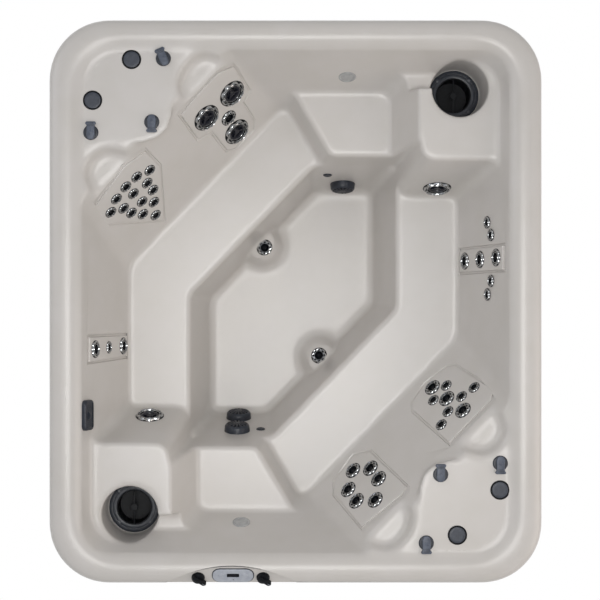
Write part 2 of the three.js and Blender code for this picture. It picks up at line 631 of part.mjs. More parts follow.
// Light lenses in the end walls, above the steps
const lens = { radius: 39, proud: 6, edge: 3, body: 27, depth: 34, sides: 12 };
const stepHollow = makeStep();
const lensPlaces = [stepHollow.wallPlace(stepWall.end, 0.41, 0.349)];
lensPlaces.push(halfTurn.clone().multiply(stepHollow.wallPlace(stepWall.end, 0.408, 0.26)));
["light_lens_rear", "light_lens_front"].forEach((name, i) => {
  const profile = [
    [0, lens.proud], [lens.radius * 0.7, lens.proud], [lens.radius, lens.edge], [lens.radius, clearance],
    [lens.body, clearance], [lens.body, -lens.depth], [0, -lens.depth],
  ];
  addMesh(name, revolve(profile, lens.sides), finish.lens, lensPlaces[i]);
  shellCutters.push(moved(holeThrough(lens.body + clearance), lensPlaces[i]));
});

// The waterfall spout: a rounded block on the left wall, with a slot and a thumbwheel
const spout = {
  length: 132, height: 84, proud: 19, crown: 7, mouth: 7, mouthInset: 12, mouthShare: 0.28, tail: 34,
};
const wheel = { radius: 19, thickness: 12, slotGap: 1, ribs: 8, proud: 12, lift: 12 };
const spoutPlace = bench.wallPlace(benchWall.side, 1.005, 0.895);
const spoutOutline = (grow, lengthwise = spout.length) => roundCorners(
  rectangle(lengthwise / 2 + grow, spout.height / 2 + grow), Array(4).fill(spout.height / 4), 3,
);
const wheelAt = local(0, 0, spout.proud + wheel.proud - wheel.radius);
const spoutBlock = loft([
  atHeight(spoutOutline(0), clearance), atHeight(spoutOutline(0), spout.proud - spout.crown),
  atHeight(spoutOutline(-spout.crown), spout.proud),
]);
const tailPlace = [0, 0, (overrun - spout.tail) / 2];
const spoutTail = box(spout.length / 2, spout.height / 2, spout.tail + overrun, tailPlace);
const spoutMouth = box(
  spout.length - 2 * spout.mouthInset, spout.mouth, spout.proud * 2,
  [0, -spout.height * spout.mouthShare, spout.proud + spout.proud / 4],
);
const wheelTurn = new THREE.Matrix4().makeRotationX(Math.PI / 2).setPosition(wheelAt);
const wheelSlot = moved(
  disc(wheel.radius + wheel.slotGap, -wheel.thickness / 2 - wheel.slotGap, wheel.thickness / 2 + wheel.slotGap, 16),
  wheelTurn,
);
const wheelLift = shift(0, wheel.lift, 0);
addMesh(
  "waterfall_spout", join([spoutBlock, spoutTail]).subtract(spoutMouth).subtract(moved(wheelSlot, wheelLift)),
  finish.slate, spoutPlace,
);
const wheelNotches = Array.from({ length: wheel.ribs }, (_, i) => {
  const notch = disc(wheel.radius / 8, -wheel.thickness, wheel.thickness, 6);
  const angle = (2 * Math.PI * i) / wheel.ribs;
  return moved(notch, shift(Math.cos(angle) * wheel.radius, Math.sin(angle) * wheel.radius, 0));
});
addMesh(
  "waterfall_wheel", cutAll(disc(wheel.radius, -wheel.thickness / 2, wheel.thickness / 2, 16), wheelNotches),
  finish.slate, spoutPlace.clone().multiply(wheelLift).multiply(wheelTurn),
);
shellCutters.push(moved(
  box(
    spout.length / 2 + 2 * clearance, spout.height / 2 + 2 * clearance, sheet.wall + 2 * overrun,
    [0, 0, -sheet.wall / 2],
  ), spoutPlace,
));

// Deck fittings: air valves with levers, and pop-up speakers in their cups
const valve = { radius: 33, collar: 5, body: 24, depth: 45, sides: 10, bore: 9.4, boreSides: 6 };
const lever = { width: 36, tail: 46, flare: 21, nose: 27, thickness: 11, lift: 6, shaft: 8, shaftDepth: 20 };
const valvePlaces = {
  rear_left: [[-0.536, 0.862, 24], [-0.583, 0.637, 180], [-0.83, 0.6, 0]],
  front_right: [[0.588, -0.614, 0], [0.83, -0.574, 180], [0.53, -0.857, 180]],
};
const airPipe = { radius: 13, sides: 6 };
const leverSolid = () => {
  const side = lever.width / 2;
  const points = [
    [-side, -lever.nose / 2], [-side / 2, -lever.nose], [side / 2, -lever.nose], [side, -lever.nose / 2],
    [side, lever.tail / 2], [lever.flare, lever.tail], [-lever.flare, lever.tail], [-side, lever.tail / 2],
  ].map(([x, y]) => new THREE.Vector2(x, y));
  const low = valve.collar + clearance;
  const blade = loft([
    atHeight(points, low), atHeight(points, low + lever.thickness - lever.lift / 2),
    atHeight(offsetEdges(points, points.map(() => -lever.lift / 2)), low + lever.thickness),
  ]);
  return blade.add(disc(lever.shaft, valve.collar - lever.shaftDepth, low + overrun, valve.boreSides));
};
Object.entries(valvePlaces).forEach(([corner, places]) => {
  const centres = places.map(([x, y]) => local(x * half.x, y * half.y, level.deck));
  const bodies = centres.map((centre) => {
    const outside = revolve([
      [0, valve.collar], [valve.radius - valve.collar / 2, valve.collar], [valve.radius, valve.collar / 2],
      [valve.radius, clearance], [valve.body, clearance], [valve.body, -valve.depth], [0, -valve.depth],
    ], valve.sides);
    const boreLow = valve.collar - lever.shaftDepth - clearance;
    const bore = disc(valve.bore, boreLow, valve.collar + overrun, valve.boreSides);
    return moved(outside.subtract(bore), shift(...centre.toArray()));
  });
  const ends = centres.map((centre) => centre.clone().setZ(level.deck - valve.depth + airPipe.radius));
  const pipes = ends.slice(1).map((end, i) => bar(ends[i], end, airPipe.radius, airPipe.sides));
  addMesh(`valve_group_${corner}`, join([...bodies, ...pipes]), finish.slate);
  centres.forEach((centre, i) => {
    const turn = new THREE.Matrix4().makeRotationZ(THREE.MathUtils.degToRad(places[i][2]));
    addMesh(`valve_lever_${corner}_${i + 1}`, leverSolid(), finish.lever, turn.setPosition(centre));
    shellCutters.push(moved(holeThrough(valve.body + clearance), shift(...centre.toArray())));
  });
});

const speaker = { radius: 37, flange: 42, wall: 2.5, depth: 92, window: 8, sides: 12, lip: 2.4, windows: 4 };
const speakerPlaces = {
  rear_left: [[-0.665, 0.859], [-0.823, 0.714]],
  front_right: [[0.829, -0.669], [0.656, -0.829]],
};
Object.entries(speakerPlaces).forEach(([corner, places]) => places.forEach(([xShare, yShare], i) => {
  const place = shift(xShare * half.x, yShare * half.y, level.deck);
  const bore = speaker.radius + clearance;
  const cup = revolve([
    [0, -speaker.depth - speaker.wall], [bore + speaker.wall, -speaker.depth - speaker.wall],
    [bore + speaker.wall, clearance], [speaker.flange, clearance], [speaker.flange, speaker.lip],
    [bore, speaker.lip], [bore, -speaker.depth], [0, -speaker.depth],
  ], speaker.sides);
  addMesh(`speaker_cup_${corner}_${i + 1}`, cup, finish.slate, place);
  const low = clearance - speaker.depth;
  const body = disc(speaker.radius, low, speaker.lip, speaker.sides);
  const windows = Array.from({ length: speaker.windows }, (_, slot) => {
    const angle = (2 * Math.PI * slot) / speaker.windows;
    const windowPlace = [speaker.radius, 0, -speaker.depth / 3];
    const window = box(speaker.window, speaker.window, speaker.depth / 3, windowPlace);
    return moved(window, new THREE.Matrix4().makeRotationZ(angle));
  });
  addMesh(`popup_speaker_${corner}_${i + 1}`, cutAll(body, windows), finish.slate, place);
  const cupHole = hole(bore + speaker.wall + clearance, -sheet.wall - overrun, overrun, speaker.sides);
  shellCutters.push(moved(cupHole, place));
}));

// The filters: a collar and pot below the ledge, and a lift-out basket on its pleated cartridge
const filter = {
  collar: 113, collarHeight: 14, throat: 78, pot: 86, potWall: 4, potDepth: 330, sides: 12, basketWall: 3,
  basketDepth: 110, ribs: 5, slot: 18, handle: 8, cartridge: 62, pleats: 8, cartridgeLength: 190,
};
const basketRadius = filter.throat - clearance;
const filterHousing = () => {
  const top = clearance + filter.collarHeight;
  return revolve([
    [0, -filter.potDepth], [filter.pot, -filter.potDepth], [filter.pot, clearance], [filter.collar, clearance],
    [filter.collar, top * 0.6], [filter.collar - top * 0.4, top], [filter.throat, top],
    [filter.throat, -filter.potDepth + filter.potWall], [0, -filter.potDepth + filter.potWall],
  ], filter.sides);
};
const basketSolid = () => {
  const top = filter.collarHeight + clearance;
  const bottom = top - filter.basketDepth;
  const cup = revolve([
    [0, bottom], [basketRadius - filter.basketWall, bottom], [basketRadius, top],
    [basketRadius - filter.basketWall, top],
    [basketRadius - filter.basketWall * 2, bottom + filter.basketWall], [0, bottom + filter.basketWall],
  ], filter.sides);
  const slots = Array.from({ length: filter.ribs }, (_, i) => {
    const slot = box(
      basketRadius, filter.slot, filter.basketDepth * 0.6, [basketRadius, 0, (top + bottom) / 2],
    );
    return moved(slot, new THREE.Matrix4().makeRotationZ((2 * Math.PI * (i + 0.5)) / filter.ribs));
  });
  const handleLength = basketRadius * 2 - filter.basketWall;
  const handle = box(filter.handle, handleLength, filter.handle, [0, 0, top - filter.handle]);
  const pleats = Array.from({ length: filter.pleats * 2 }, (_, i) => {
    const angle = (Math.PI * i) / filter.pleats;
    const radius = i % 2 ? filter.cartridge : filter.cartridge * 0.86;
    return new THREE.Vector2(Math.cos(angle), Math.sin(angle)).multiplyScalar(radius);
  });
  const cartridge = prism(pleats, bottom - filter.cartridgeLength, bottom + overrun / 2);
  return join([cutAll(cup, slots), handle, cartridge]);
};
["rear", "front"].forEach((name, i) => {
  const place = shift(wellCentre.x, wellCentre.y, wellLedge);
  const matrix = i ? halfTurn.clone().multiply(place) : place;
  addMesh(`filter_housing_${name}`, filterHousing(), finish.slate, matrix);
  addMesh(`filter_basket_${name}`, basketSolid(), finish.slate, matrix);
  shellCutters.push(moved(hole(filter.pot + clearance, -sheet.wall - overrun, overrun, filter.sides), matrix));
});

// The acrylic shell: every hollow grown by the wall, less every hollow, hung in the rolled rim
const rimRing = (z, inset, steps = rim.cornerSteps) => {
  const corners = rectangle(half.x - inset, half.y - inset);
  return atHeight(roundCorners(corners, Array(4).fill(rim.cornerRadius - inset), steps), z);
};
const rollZ = tub.height - rim.rollDrop;
const shoulderZ = tub.height - rim.shoulderDrop;
const skirtZ = tub.height - rim.skirtDrop;
const rimOuter = loft([
  rimRing(skirtZ, 0), rimRing(rollZ, 0), rimRing(shoulderZ, rim.rollInset), rimRing(tub.height, rim.crestInset),
]);
const rimUnder = loft([
  rimRing(skirtZ - overrun, sheet.wall), rimRing(rollZ - sheet.wall / 2, sheet.wall),
  rimRing(shoulderZ - sheet.wall, rim.rollInset + sheet.wall),
  rimRing(tub.height - sheet.wall, rim.crestInset + sheet.wall),
]);
const halfTurnSolid = (solid) => moved(solid, halfTurn);
const pairOf = (solid) => [solid, halfTurnSolid(solid)];
const hollowParts = (grow, top) => [
  ...pairOf(makeStep().solid(grow, top)), ...pairOf(makePlateau().solid(grow, top)),
  ...pairOf(makeWeir().solid(grow, top)), ...pairOf(wellSolid(grow, top)),
  ...pairOf(makeScoop(lowScoopShares).solid(grow, top)),
  ...pairOf(makeScoop(highScoopShares).solid(grow, top)),
];
const deckTop = level.deck - clearance;
const noses = pairOf(noseSolid(0));
const innerNoses = pairOf(noseSolid(-sheet.wall));
const pads = pairOf(padSolid(0));
const innerPads = pairOf(padSolid(-sheet.wall));
const pocketFloor = archSolid(sheet.wall + fascia.seam, -half.y, -sheet.wall, tub.height - sheet.wall);
const pocket = archSolid(fascia.seam, -half.y - overrun, 0, crest);
const envelope = join([
  deck.solid(sheet.wall, tub.height - sheet.wall / 2),
  ...hollowParts(sheet.wall, deckTop),
  cutAll(bench.solid(sheet.wall, deckTop), innerNoses),
]);
const footwellEnvelope = cutAll(footwell.solid(sheet.wall, level.bench), innerPads);
const hollows = join([
  deck.solid(0, crest), ...hollowParts(0, crest),
  cutAll(bench.solid(0, crest), noses),
  cutAll(footwell.solid(0, level.bench + sheet.floorRadius), pads),
]);
const knobPlaces = [fasciaPlace(-0.52, 0.36, 0), fasciaPlace(0.485, 0.36, 0)];
const knob = { radius: 29, height: 26, grip: 15, gripLength: 44, boss: 15, bossDepth: 30, shaft: 6, sides: 12 };
const bossHoles = knobPlaces.map((place) => moved(
  hole(knob.boss + clearance, -knob.bossDepth - overrun, overrun), place,
));
const rimShell = rimOuter.subtract(rimUnder).add(pocketFloor.intersect(rimOuter));
const shellSkin = join([rimShell, envelope, footwellEnvelope]);
const facets = join(shellAdditions);
const openShell = shellSkin.subtract(hollows).subtract(pocket).add(facets);
addMesh("acrylic_shell", cutAll(openShell, [...shellCutters, ...bossHoles]), finish.acrylic);

// The controls: the arched plate with the display, its keys and the two diverter knobs
const display = {
  halfLength: 88, halfWidth: 30, height: 6, key: 13, keyGap: 0.4, keyOffset: 52, keyDepth: 4, keyTravel: 1,
  keyProud: 1.6, window: 44, recess: 2,
};
const displayPlace = fasciaPlace(0.02, 0.52, plateLift);
const stadium = (halfLength, halfWidth, steps) => roundCorners(
  rectangle(halfLength, halfWidth), Array(4).fill(halfWidth / cornerRoomShare), steps,
);
const displayOutline = stadium(display.halfLength, display.halfWidth, 3);
const displayBody = prism(displayOutline, -fascia.thickness / 2, display.height);
const keySlots = [-1, 1].map((side) => moved(
  disc(display.key + display.keyGap, display.height - display.keyDepth, display.height + overrun, 10),
  shift(side * display.keyOffset, 0, 0),
));
const windowRecess = box(display.window, display.halfWidth * 0.6, display.recess, [0, 0, display.height]);
const plateSolid = () => {
  const slab = archSolid(0, -half.y, clearance);
  const bosses = knobPlaces.map((place) => moved(disc(knob.boss, -knob.bossDepth, plateLift, 8), place));
  const bores = knobPlaces.map((place) => moved(
    hole(knob.shaft + clearance, -knob.bossDepth / 2, plateLift + overrun, 8), place,
  ));
  const housing = moved(cutAll(displayBody, [...keySlots, windowRecess]), displayPlace);
  return cutAll(join([slab, ...bosses, housing]), bores);
};
addMesh("control_fascia", plateSolid(), finish.silver);
["down_button", "up_button"].forEach((name, i) => {
  const side = i ? 1 : -1;
  const low = display.height - display.keyDepth + display.keyTravel + clearance;
  const cap = disc(display.key, low, display.height + display.keyProud, 10);
  addMesh(name, cap, finish.slate, displayPlace.clone().multiply(shift(side * display.keyOffset, 0, 0)));
});
const knobSolid = () => {
  const skirt = revolve([
    [0, clearance], [knob.radius, clearance], [knob.radius, knob.height * 0.3],
    [knob.radius * 0.86, knob.height * 0.55], [0, knob.height * 0.55],
  ], knob.sides);
  const length = knob.gripLength;
  const outline = [
    [-knob.radius * 0.86, -knob.grip / 2], [length * 0.75, -knob.grip / 2], [length, -knob.grip / 4],
    [length, knob.grip / 4], [length * 0.75, knob.grip / 2], [-knob.radius * 0.86, knob.grip / 2],
  ].map(([x, y]) => new THREE.Vector2(x, y));
  const grip = loft([
    atHeight(outline, knob.height * 0.25), atHeight(outline, knob.height * 0.8),
    atHeight(offsetEdges(outline, outline.map(() => -knob.grip / 6)), knob.height),
  ]);
  return join([skirt, grip, disc(knob.shaft, -knob.bossDepth / 2 + clearance, overrun, 8)]);
};
const gripTurn = new THREE.Matrix4().makeRotationZ(THREE.MathUtils.degToRad(-38));
["left_diverter_knob", "right_diverter_knob"].forEach((name, i) => {
  const place = knobPlaces[i].clone().multiply(shift(0, 0, plateLift)).multiply(gripTurn);
  addMesh(name, knobSolid(), finish.slate, place);
});

// The base pan: a tray with a rim, cross ribs and a raised pad that carries the footwell
const cabinet = { inset: 35, thickness: 12, tuck: 4, bottom: 14, groove: 5, board: 160, cornerSteps: 5 };
const cabinetTop = skirtZ + cabinet.tuck;
const pan = { flange: 14, floor: 8, rimHeight: 60, wall: 6, padInset: 60, draft: 10 };
const cabinetHalf = { x: half.x - cabinet.inset, y: half.y - cabinet.inset };
const cabinetRadius = rim.cornerRadius - cabinet.inset;
const roundedPlan = (inset, steps = cabinet.cornerSteps) => roundCorners(
  rectangle(cabinetHalf.x - inset, cabinetHalf.y - inset), Array(4).fill(cabinetRadius - inset), steps,
);
const panWall = cabinet.thickness + clearance;
const panPad = (() => {
  const top = level.footwell - sheet.wall - clearance;
  const floorRing = footwell.ring(level.footwell, 0, pan.padInset);
  const lowRing = footwell.ring(level.footwell, 0, pan.padInset - pan.draft);
  return loft([atHeight(lowRing, pan.floor / 2), atHeight(floorRing, top)]);
})();
const pipeTrough = bar(
  footEnds[0].clone().sub(footEnds[1]).setLength(footPipe.radius * 4).add(footEnds[0]),
  footEnds[1].clone().sub(footEnds[0]).setLength(footPipe.radius * 4).add(footEnds[1]),
  footPipe.radius + footPipe.drop / 2, 8,
);
const troughTop = moved(pipeTrough, shift(0, 0, footPipe.radius + footPipe.drop / 2));
const panSolid = join([
  prism(roundedPlan(0), 0, pan.flange),
  prism(roundedPlan(panWall), 0, pan.rimHeight),
]).subtract(prism(roundedPlan(panWall + pan.wall), pan.floor, pan.rimHeight + overrun))
  .add(panPad).subtract(pipeTrough).subtract(troughTop);
addMesh("base_pan", panSolid, finish.slate);

// The frame: an upper and a lower eight-sided ring on posts
const frame = { beam: 36, cornerSteps: 2, railHeight: 60, gap: 4, relief: 58 };
const frameInset = panWall + pan.wall + frame.gap;
const frameRadius = cabinetRadius - frameInset;
const frameOutline = (inset) => roundCorners(
  rectangle(cabinetHalf.x - frameInset - inset, cabinetHalf.y - frameInset - inset),
  Array(4).fill(frameRadius - inset), frame.cornerSteps,
);
const railRing = (low, high) => prism(frameOutline(0), low, high)
  .subtract(prism(frameOutline(frame.beam), low - overrun, high + overrun));
const frameTop = level.deck - sheet.wall - clearance;
const frameLow = pan.floor + clearance;
const posts = [[-1, -1], [-1, 0], [-1, 1], [1, -1], [1, 0], [1, 1]].map(([sideX, sideY]) => box(
  frame.beam, frame.beam, frameTop - frameLow,
  [
    sideX * (cabinetHalf.x - frameInset - frame.beam / 2), sideY * (cabinetHalf.y - cabinetRadius),
    (frameTop + frameLow) / 2,
  ],
));
const pocketRelief = archSolid(sheet.wall * 3, -half.y, -frame.relief, crest);
const frameSolid = join([
  railRing(frameLow, frameLow + frame.railHeight), railRing(frameTop - frame.railHeight, frameTop), ...posts,
]).subtract(pocketRelief);
addMesh("support_frame", frameSolid, finish.timber);

// The cabinet: grooved boards on four sides and rounded corner posts
const boardProfile = (run) => {
  const boards = Math.max(2, Math.round(run / cabinet.board));
  const board = run / boards;
  const points = [[-run / 2, 0]];
  for (let i = 0; i < boards; i += 1) {
    const from = -run / 2 + i * board;
    points.push([from + (i ? cabinet.groove : 0), -cabinet.thickness]);
    points.push([from + board - (i < boards - 1 ? cabinet.groove : 0), -cabinet.thickness]);
    if (i < boards - 1) {
      points.push([from + board, -cabinet.thickness + cabinet.groove]);
    }
  }
  points.push([run / 2, 0]);
  return points.map(([x, y]) => new THREE.Vector2(x, y));
};
const cabinetSeam = 1;
const panelLow = cabinet.bottom + clearance;
const wallRun = {
  x: 2 * (cabinetHalf.x - cabinetRadius - cabinetSeam), y: 2 * (cabinetHalf.y - cabinetRadius - cabinetSeam),
};
const sidePanels = [
  ["front_access_panel", wallRun.x, 0, cabinetHalf.y], ["right_panel", wallRun.y, 90, cabinetHalf.x],
  ["rear_panel", wallRun.x, 180, cabinetHalf.y], ["left_panel", wallRun.y, 270, cabinetHalf.x],
];
sidePanels.forEach(([name, run, degrees, distance]) => {
  const solid = prism(boardProfile(run), panelLow, cabinetTop);
  const place = new THREE.Matrix4().makeRotationZ(THREE.MathUtils.degToRad(degrees));
  addMesh(name, solid, finish.panel, place.multiply(shift(0, cabinet.thickness - distance, 0)));
});
const cornerPosts = [
  ["front_right", 1, -1, -90], ["rear_right", 1, 1, 0], ["rear_left", -1, 1, 90], ["front_left", -1, -1, 180],
];
cornerPosts.forEach(([name, sideX, sideY, degrees]) => {
  const arc = (radius, reverse) => {
    const points = Array.from({ length: cabinet.cornerSteps + 1 }, (_, i) => {
      const angle = (Math.PI / 2) * (i / cabinet.cornerSteps);
      return new THREE.Vector2(Math.cos(angle), Math.sin(angle)).multiplyScalar(radius);
    });
    return reverse ? points.reverse() : points;
  };
  const outline = [...arc(cabinetRadius, false), ...arc(cabinetRadius - cabinet.thickness, true)];
  const place = new THREE.Matrix4().makeRotationZ(THREE.MathUtils.degToRad(degrees));
  place.setPosition(sideX * (cabinetHalf.x - cabinetRadius), sideY * (cabinetHalf.y - cabinetRadius), 0);
  addMesh(`corner_post_${name}`, prism(outline, panelLow, cabinetTop), finish.panel, place);
});

// The equipment under the front step: two pumps, the heater with its control pack, and the drain
const pump = {
  motor: 76, motorLength: 250, wet: 88, wetLength: 90, foot: 14, footWidth: 150, footLength: 180, port: 30,
  portLength: 60, fins: 3, fin: 6, sides: 10,
};
const pumpSolid = () => {
  const axisZ = pump.foot + pump.wet + pump.fin;
  const turn = new THREE.Matrix4().makeRotationX(Math.PI / 2).setPosition(0, 0, axisZ);
  const motor = disc(pump.motor, 0, pump.motorLength, pump.sides);
  const wet = revolve([
    [0, -pump.wetLength], [pump.wet * 0.7, -pump.wetLength], [pump.wet, -pump.wetLength * 0.7],
    [pump.wet, 0], [0, 0],
  ], pump.sides);
  const port = disc(pump.port, -pump.wetLength - pump.portLength, -pump.wetLength, 10);
  const finPlates = Array.from({ length: pump.fins }, (_, i) => moved(
    box(pump.motor * 2 + pump.fin * 2, pump.fin, pump.motorLength * 0.7, [0, 0, pump.motorLength / 2]),
    new THREE.Matrix4().makeRotationZ((Math.PI * i) / pump.fins),
  ));
  const outletEnd = local(0, pump.wetLength / 2, axisZ + pump.wet + pump.portLength);
  const outlet = bar(outletEnd.clone().setZ(axisZ), outletEnd, pump.port, 10);
  const foot = box(pump.footWidth, pump.footLength, pump.foot, [0, -pump.motorLength / 2, pump.foot / 2]);
  const web = box(
    pump.footWidth / 3, pump.footLength, axisZ - pump.foot, [0, -pump.motorLength / 2, (axisZ + pump.foot) / 2],
  );
  return join([moved(join([motor, wet, port, ...finPlates]), turn), outlet, foot, web]);
};
const bay = { left: -0.31, right: -0.06, pack: 0.31, gap: 5 };
const bayFloor = pan.floor + clearance;
const bayFrontY = frameInset + frame.beam + bay.gap - cabinetHalf.y;
["left", "right"].forEach((name) => {
  const place = shift(bay[name] * half.x, bayFrontY + pump.motorLength, bayFloor);
  addMesh(`pump_${name}`, pumpSolid(), finish.motor, place);
});
const pack = { width: 380, depth: 170, height: 260, edge: 16, tube: 38, tubeLift: 60, tubeOver: 90, foot: 20 };
const packSolid = () => {
  const body = rectangle(pack.width / 2, pack.depth / 2);
  const radii = Array(4).fill(pack.edge);
  const cover = loft([
    atHeight(roundCorners(body, radii, 2), pack.foot),
    atHeight(roundCorners(body, radii, 2), pack.foot + pack.height - pack.edge),
    atHeight(roundCorners(offsetEdges(body, Array(4).fill(-pack.edge)), radii, 2), pack.foot + pack.height),
  ]);
  const feet = [-1, 1].map((side) => box(
    pack.foot * 2, pack.depth, pack.foot + overrun, [side * pack.width * 0.35, 0, (pack.foot + overrun) / 2],
  ));
  const heater = bar(
    local(-pack.width / 2 - pack.tubeOver, pack.depth / 2, pack.tubeLift + pack.foot),
    local(pack.width / 2 + pack.tubeOver, pack.depth / 2, pack.tubeLift + pack.foot), pack.tube, 12,
  );
  return join([cover, ...feet, heater]);
};
addMesh("heater_pack", packSolid(), finish.pack, shift(bay.pack * half.x, bayFrontY + pack.depth / 2, bayFloor));
const drain = { body: 16, length: 70, cap: 22, capLength: 24, foot: 40, xShare: -0.6 };
const drainSolid = () => {
  const turn = new THREE.Matrix4().makeRotationX(Math.PI / 2).setPosition(0, 0, drain.cap);
  const tube = disc(drain.body, 0, drain.length, 12);
  const cap = disc(drain.cap, drain.length - overrun, drain.length + drain.capLength, 8);
  const foot = box(drain.foot, drain.foot, drain.cap, [0, -drain.foot / 2, drain.cap / 2]);
  return join([moved(join([tube, cap]), turn), foot]);
};
const drainY = bayFrontY + drain.length + drain.capLength;
const drainPlace = shift(drain.xShare * half.x, drainY, bayFloor);
addMesh("drain_valve", drainSolid(), finish.pipe, drainPlace);

// The knob grips reach past the front edge, so the whole is centred on its own outer box
const bounds = new THREE.Box3().setFromObject(hotTub, true);
const centre = bounds.getCenter(new THREE.Vector3());
hotTub.position.set(-centre.x, -centre.y, -bounds.min.z);

export default hotTub;
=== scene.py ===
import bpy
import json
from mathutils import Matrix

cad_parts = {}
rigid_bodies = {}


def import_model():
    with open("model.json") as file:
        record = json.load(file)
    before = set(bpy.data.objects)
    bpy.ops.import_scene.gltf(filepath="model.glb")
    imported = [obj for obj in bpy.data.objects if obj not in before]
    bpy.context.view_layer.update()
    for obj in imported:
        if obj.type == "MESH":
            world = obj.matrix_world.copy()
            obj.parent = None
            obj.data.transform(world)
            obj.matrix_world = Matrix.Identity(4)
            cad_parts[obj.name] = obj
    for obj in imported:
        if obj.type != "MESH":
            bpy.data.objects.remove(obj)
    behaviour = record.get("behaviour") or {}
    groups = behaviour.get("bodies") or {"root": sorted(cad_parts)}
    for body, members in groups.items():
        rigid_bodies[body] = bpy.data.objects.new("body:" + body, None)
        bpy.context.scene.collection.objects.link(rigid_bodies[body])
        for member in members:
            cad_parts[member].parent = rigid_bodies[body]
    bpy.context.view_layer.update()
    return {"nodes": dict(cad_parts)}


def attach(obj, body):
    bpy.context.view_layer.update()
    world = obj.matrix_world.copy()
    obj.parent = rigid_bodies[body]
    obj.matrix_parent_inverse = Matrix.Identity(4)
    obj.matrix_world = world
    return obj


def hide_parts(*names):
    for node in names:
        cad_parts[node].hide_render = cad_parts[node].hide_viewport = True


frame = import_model()

import json
import math

import bmesh
import bpy
from mathutils import Matrix, Vector

# An acrylic hot tub seen from straight above: moulded shell, jets, valves, filters, controls and cabinet.
# Pieces are in millimetres about the tub's own middle; makePiece brings them to metres and to their place.
tub = {"width": 2134, "length": 2438, "height": 965, "shift": 0.006236}
level = {
    "footwell": 100, "bench": 479.99, "step": 620.01, "weir": 760.03, "plateau": 849.97, "scoop": 885,
    "deck": 938,
}
halfX = tub["width"] / 2
halfY = tub["length"] / 2
toRow = Matrix.Translation((0, tub["shift"], 0)) @ Matrix.Scale(0.001, 4)
halfTurn = Matrix.Rotation(math.pi, 4, "Z")
still = Matrix.Identity(4)
clearance = 0.3
cutTop = tub["height"] + 10


def toLinear(code):
    channels = [int(code[i:i + 2], 16) / 255 for i in (1, 3, 5)]
    return tuple(c / 12.92 if c <= 0.04045 else ((c + 0.055) / 1.055) ** 2.4 for c in channels) + (1.0,)


# Camera, floor and light

view = {"at": (-0.150, 0.00624, 6.965), "lens": 83.6, "shift": (0.0652, 0.0025)}
cameraData = bpy.data.cameras.new("camera")
cameraData.lens = view["lens"]
cameraData.sensor_width = 36
cameraData.shift_x, cameraData.shift_y = view["shift"]
camera = bpy.data.objects.new("camera", cameraData)
camera.location = view["at"]
bpy.context.scene.collection.objects.link(camera)
bpy.context.scene.camera = camera
bpy.context.scene.view_settings.view_transform = "Standard"


def addNode(material, kind, settings=None, links=None):
    node = material.node_tree.nodes.new(kind)
    for key, value in (settings or {}).items():
        if key in node.inputs:
            node.inputs[key].default_value = value
        else:
            setattr(node, key, value)
    for key, source in (links or {}).items():
        material.node_tree.links.new(source, node.inputs[key])
    return node


def newMaterial(name, settings=None):
    material = bpy.data.materials.new(name)
    material.use_nodes = True
    shader = material.node_tree.nodes["Principled BSDF"]
    for key, value in (settings or {}).items():
        shader.inputs[key].default_value = value
    return material, shader


def objectPlace(material, scale=(1, 1, 1)):
    spot = addNode(material, "ShaderNodeTexCoord").outputs["Object"]
    return addNode(material, "ShaderNodeMapping", {"Scale": scale}, {"Vector": spot}).outputs["Vector"]


def tones(material, factor, low, high, lowAt=0.35, highAt=0.65):
    ramp = addNode(material, "ShaderNodeValToRGB", links={"Fac": factor})
    for element, place, code in zip(ramp.color_ramp.elements, (lowAt, highAt), (low, high)):
        element.position = place
        element.color = toLinear(code)
    return ramp.outputs["Color"]


def spread(material, factor, low, high):
    return addNode(
        material, "ShaderNodeMapRange", {"To Min": low, "To Max": high}, {"Value": factor},
    ).outputs["Result"]


def seenDirectly(material):
    # 1 where the camera, metal or glass looks, so that they see plain white and other rays the pale surface
    path = addNode(material, "ShaderNodeLightPath")
    seen = addNode(material, "ShaderNodeMath", {"operation": "MAXIMUM"})
    either = addNode(material, "ShaderNodeMath", {"operation": "MAXIMUM"})
    join = material.node_tree.links.new
    join(path.outputs["Is Camera Ray"], seen.inputs[0])
    join(path.outputs["Is Glossy Ray"], seen.inputs[1])
    join(seen.outputs[0], either.inputs[0])
    join(path.outputs["Is Transmission Ray"], either.inputs[1])
    return either.outputs[0]


# Painted floor: matt and pale, with a faint unevenness of about 25 mm.
floorForm = {"width": 30}
paleFloor, floorShader = newMaterial("palePaintedFloor", {"Roughness": 0.9})
floorNoise = addNode(paleFloor, "ShaderNodeTexNoise", {"Scale": 40.0}, {"Vector": objectPlace(paleFloor)})
paleFloor.node_tree.links.new(
    tones(paleFloor, floorNoise.outputs["Fac"], "#f2f2f0", "#f8f8f7"), floorShader.inputs["Base Color"],
)
glow = addNode(paleFloor, "ShaderNodeEmission", {"Color": (1, 1, 1, 1), "Strength": 1.0})
blend = addNode(paleFloor, "ShaderNodeMixShader", links={"Fac": seenDirectly(paleFloor)})
paleFloor.node_tree.links.new(floorShader.outputs[0], blend.inputs[1])
paleFloor.node_tree.links.new(glow.outputs[0], blend.inputs[2])
paleFloor.node_tree.links.new(
    blend.outputs[0], paleFloor.node_tree.nodes["Material Output"].inputs["Surface"],
)
floorShape = bmesh.new()
bmesh.ops.create_grid(floorShape, x_segments=1, y_segments=1, size=floorForm["width"] / 2)
floorMesh = bpy.data.meshes.new("floor")
floorShape.to_mesh(floorMesh)
floorShape.free()
floorMesh.materials.append(paleFloor)
floor = bpy.data.objects.new("floor", floorMesh)
bpy.context.scene.collection.objects.link(floor)

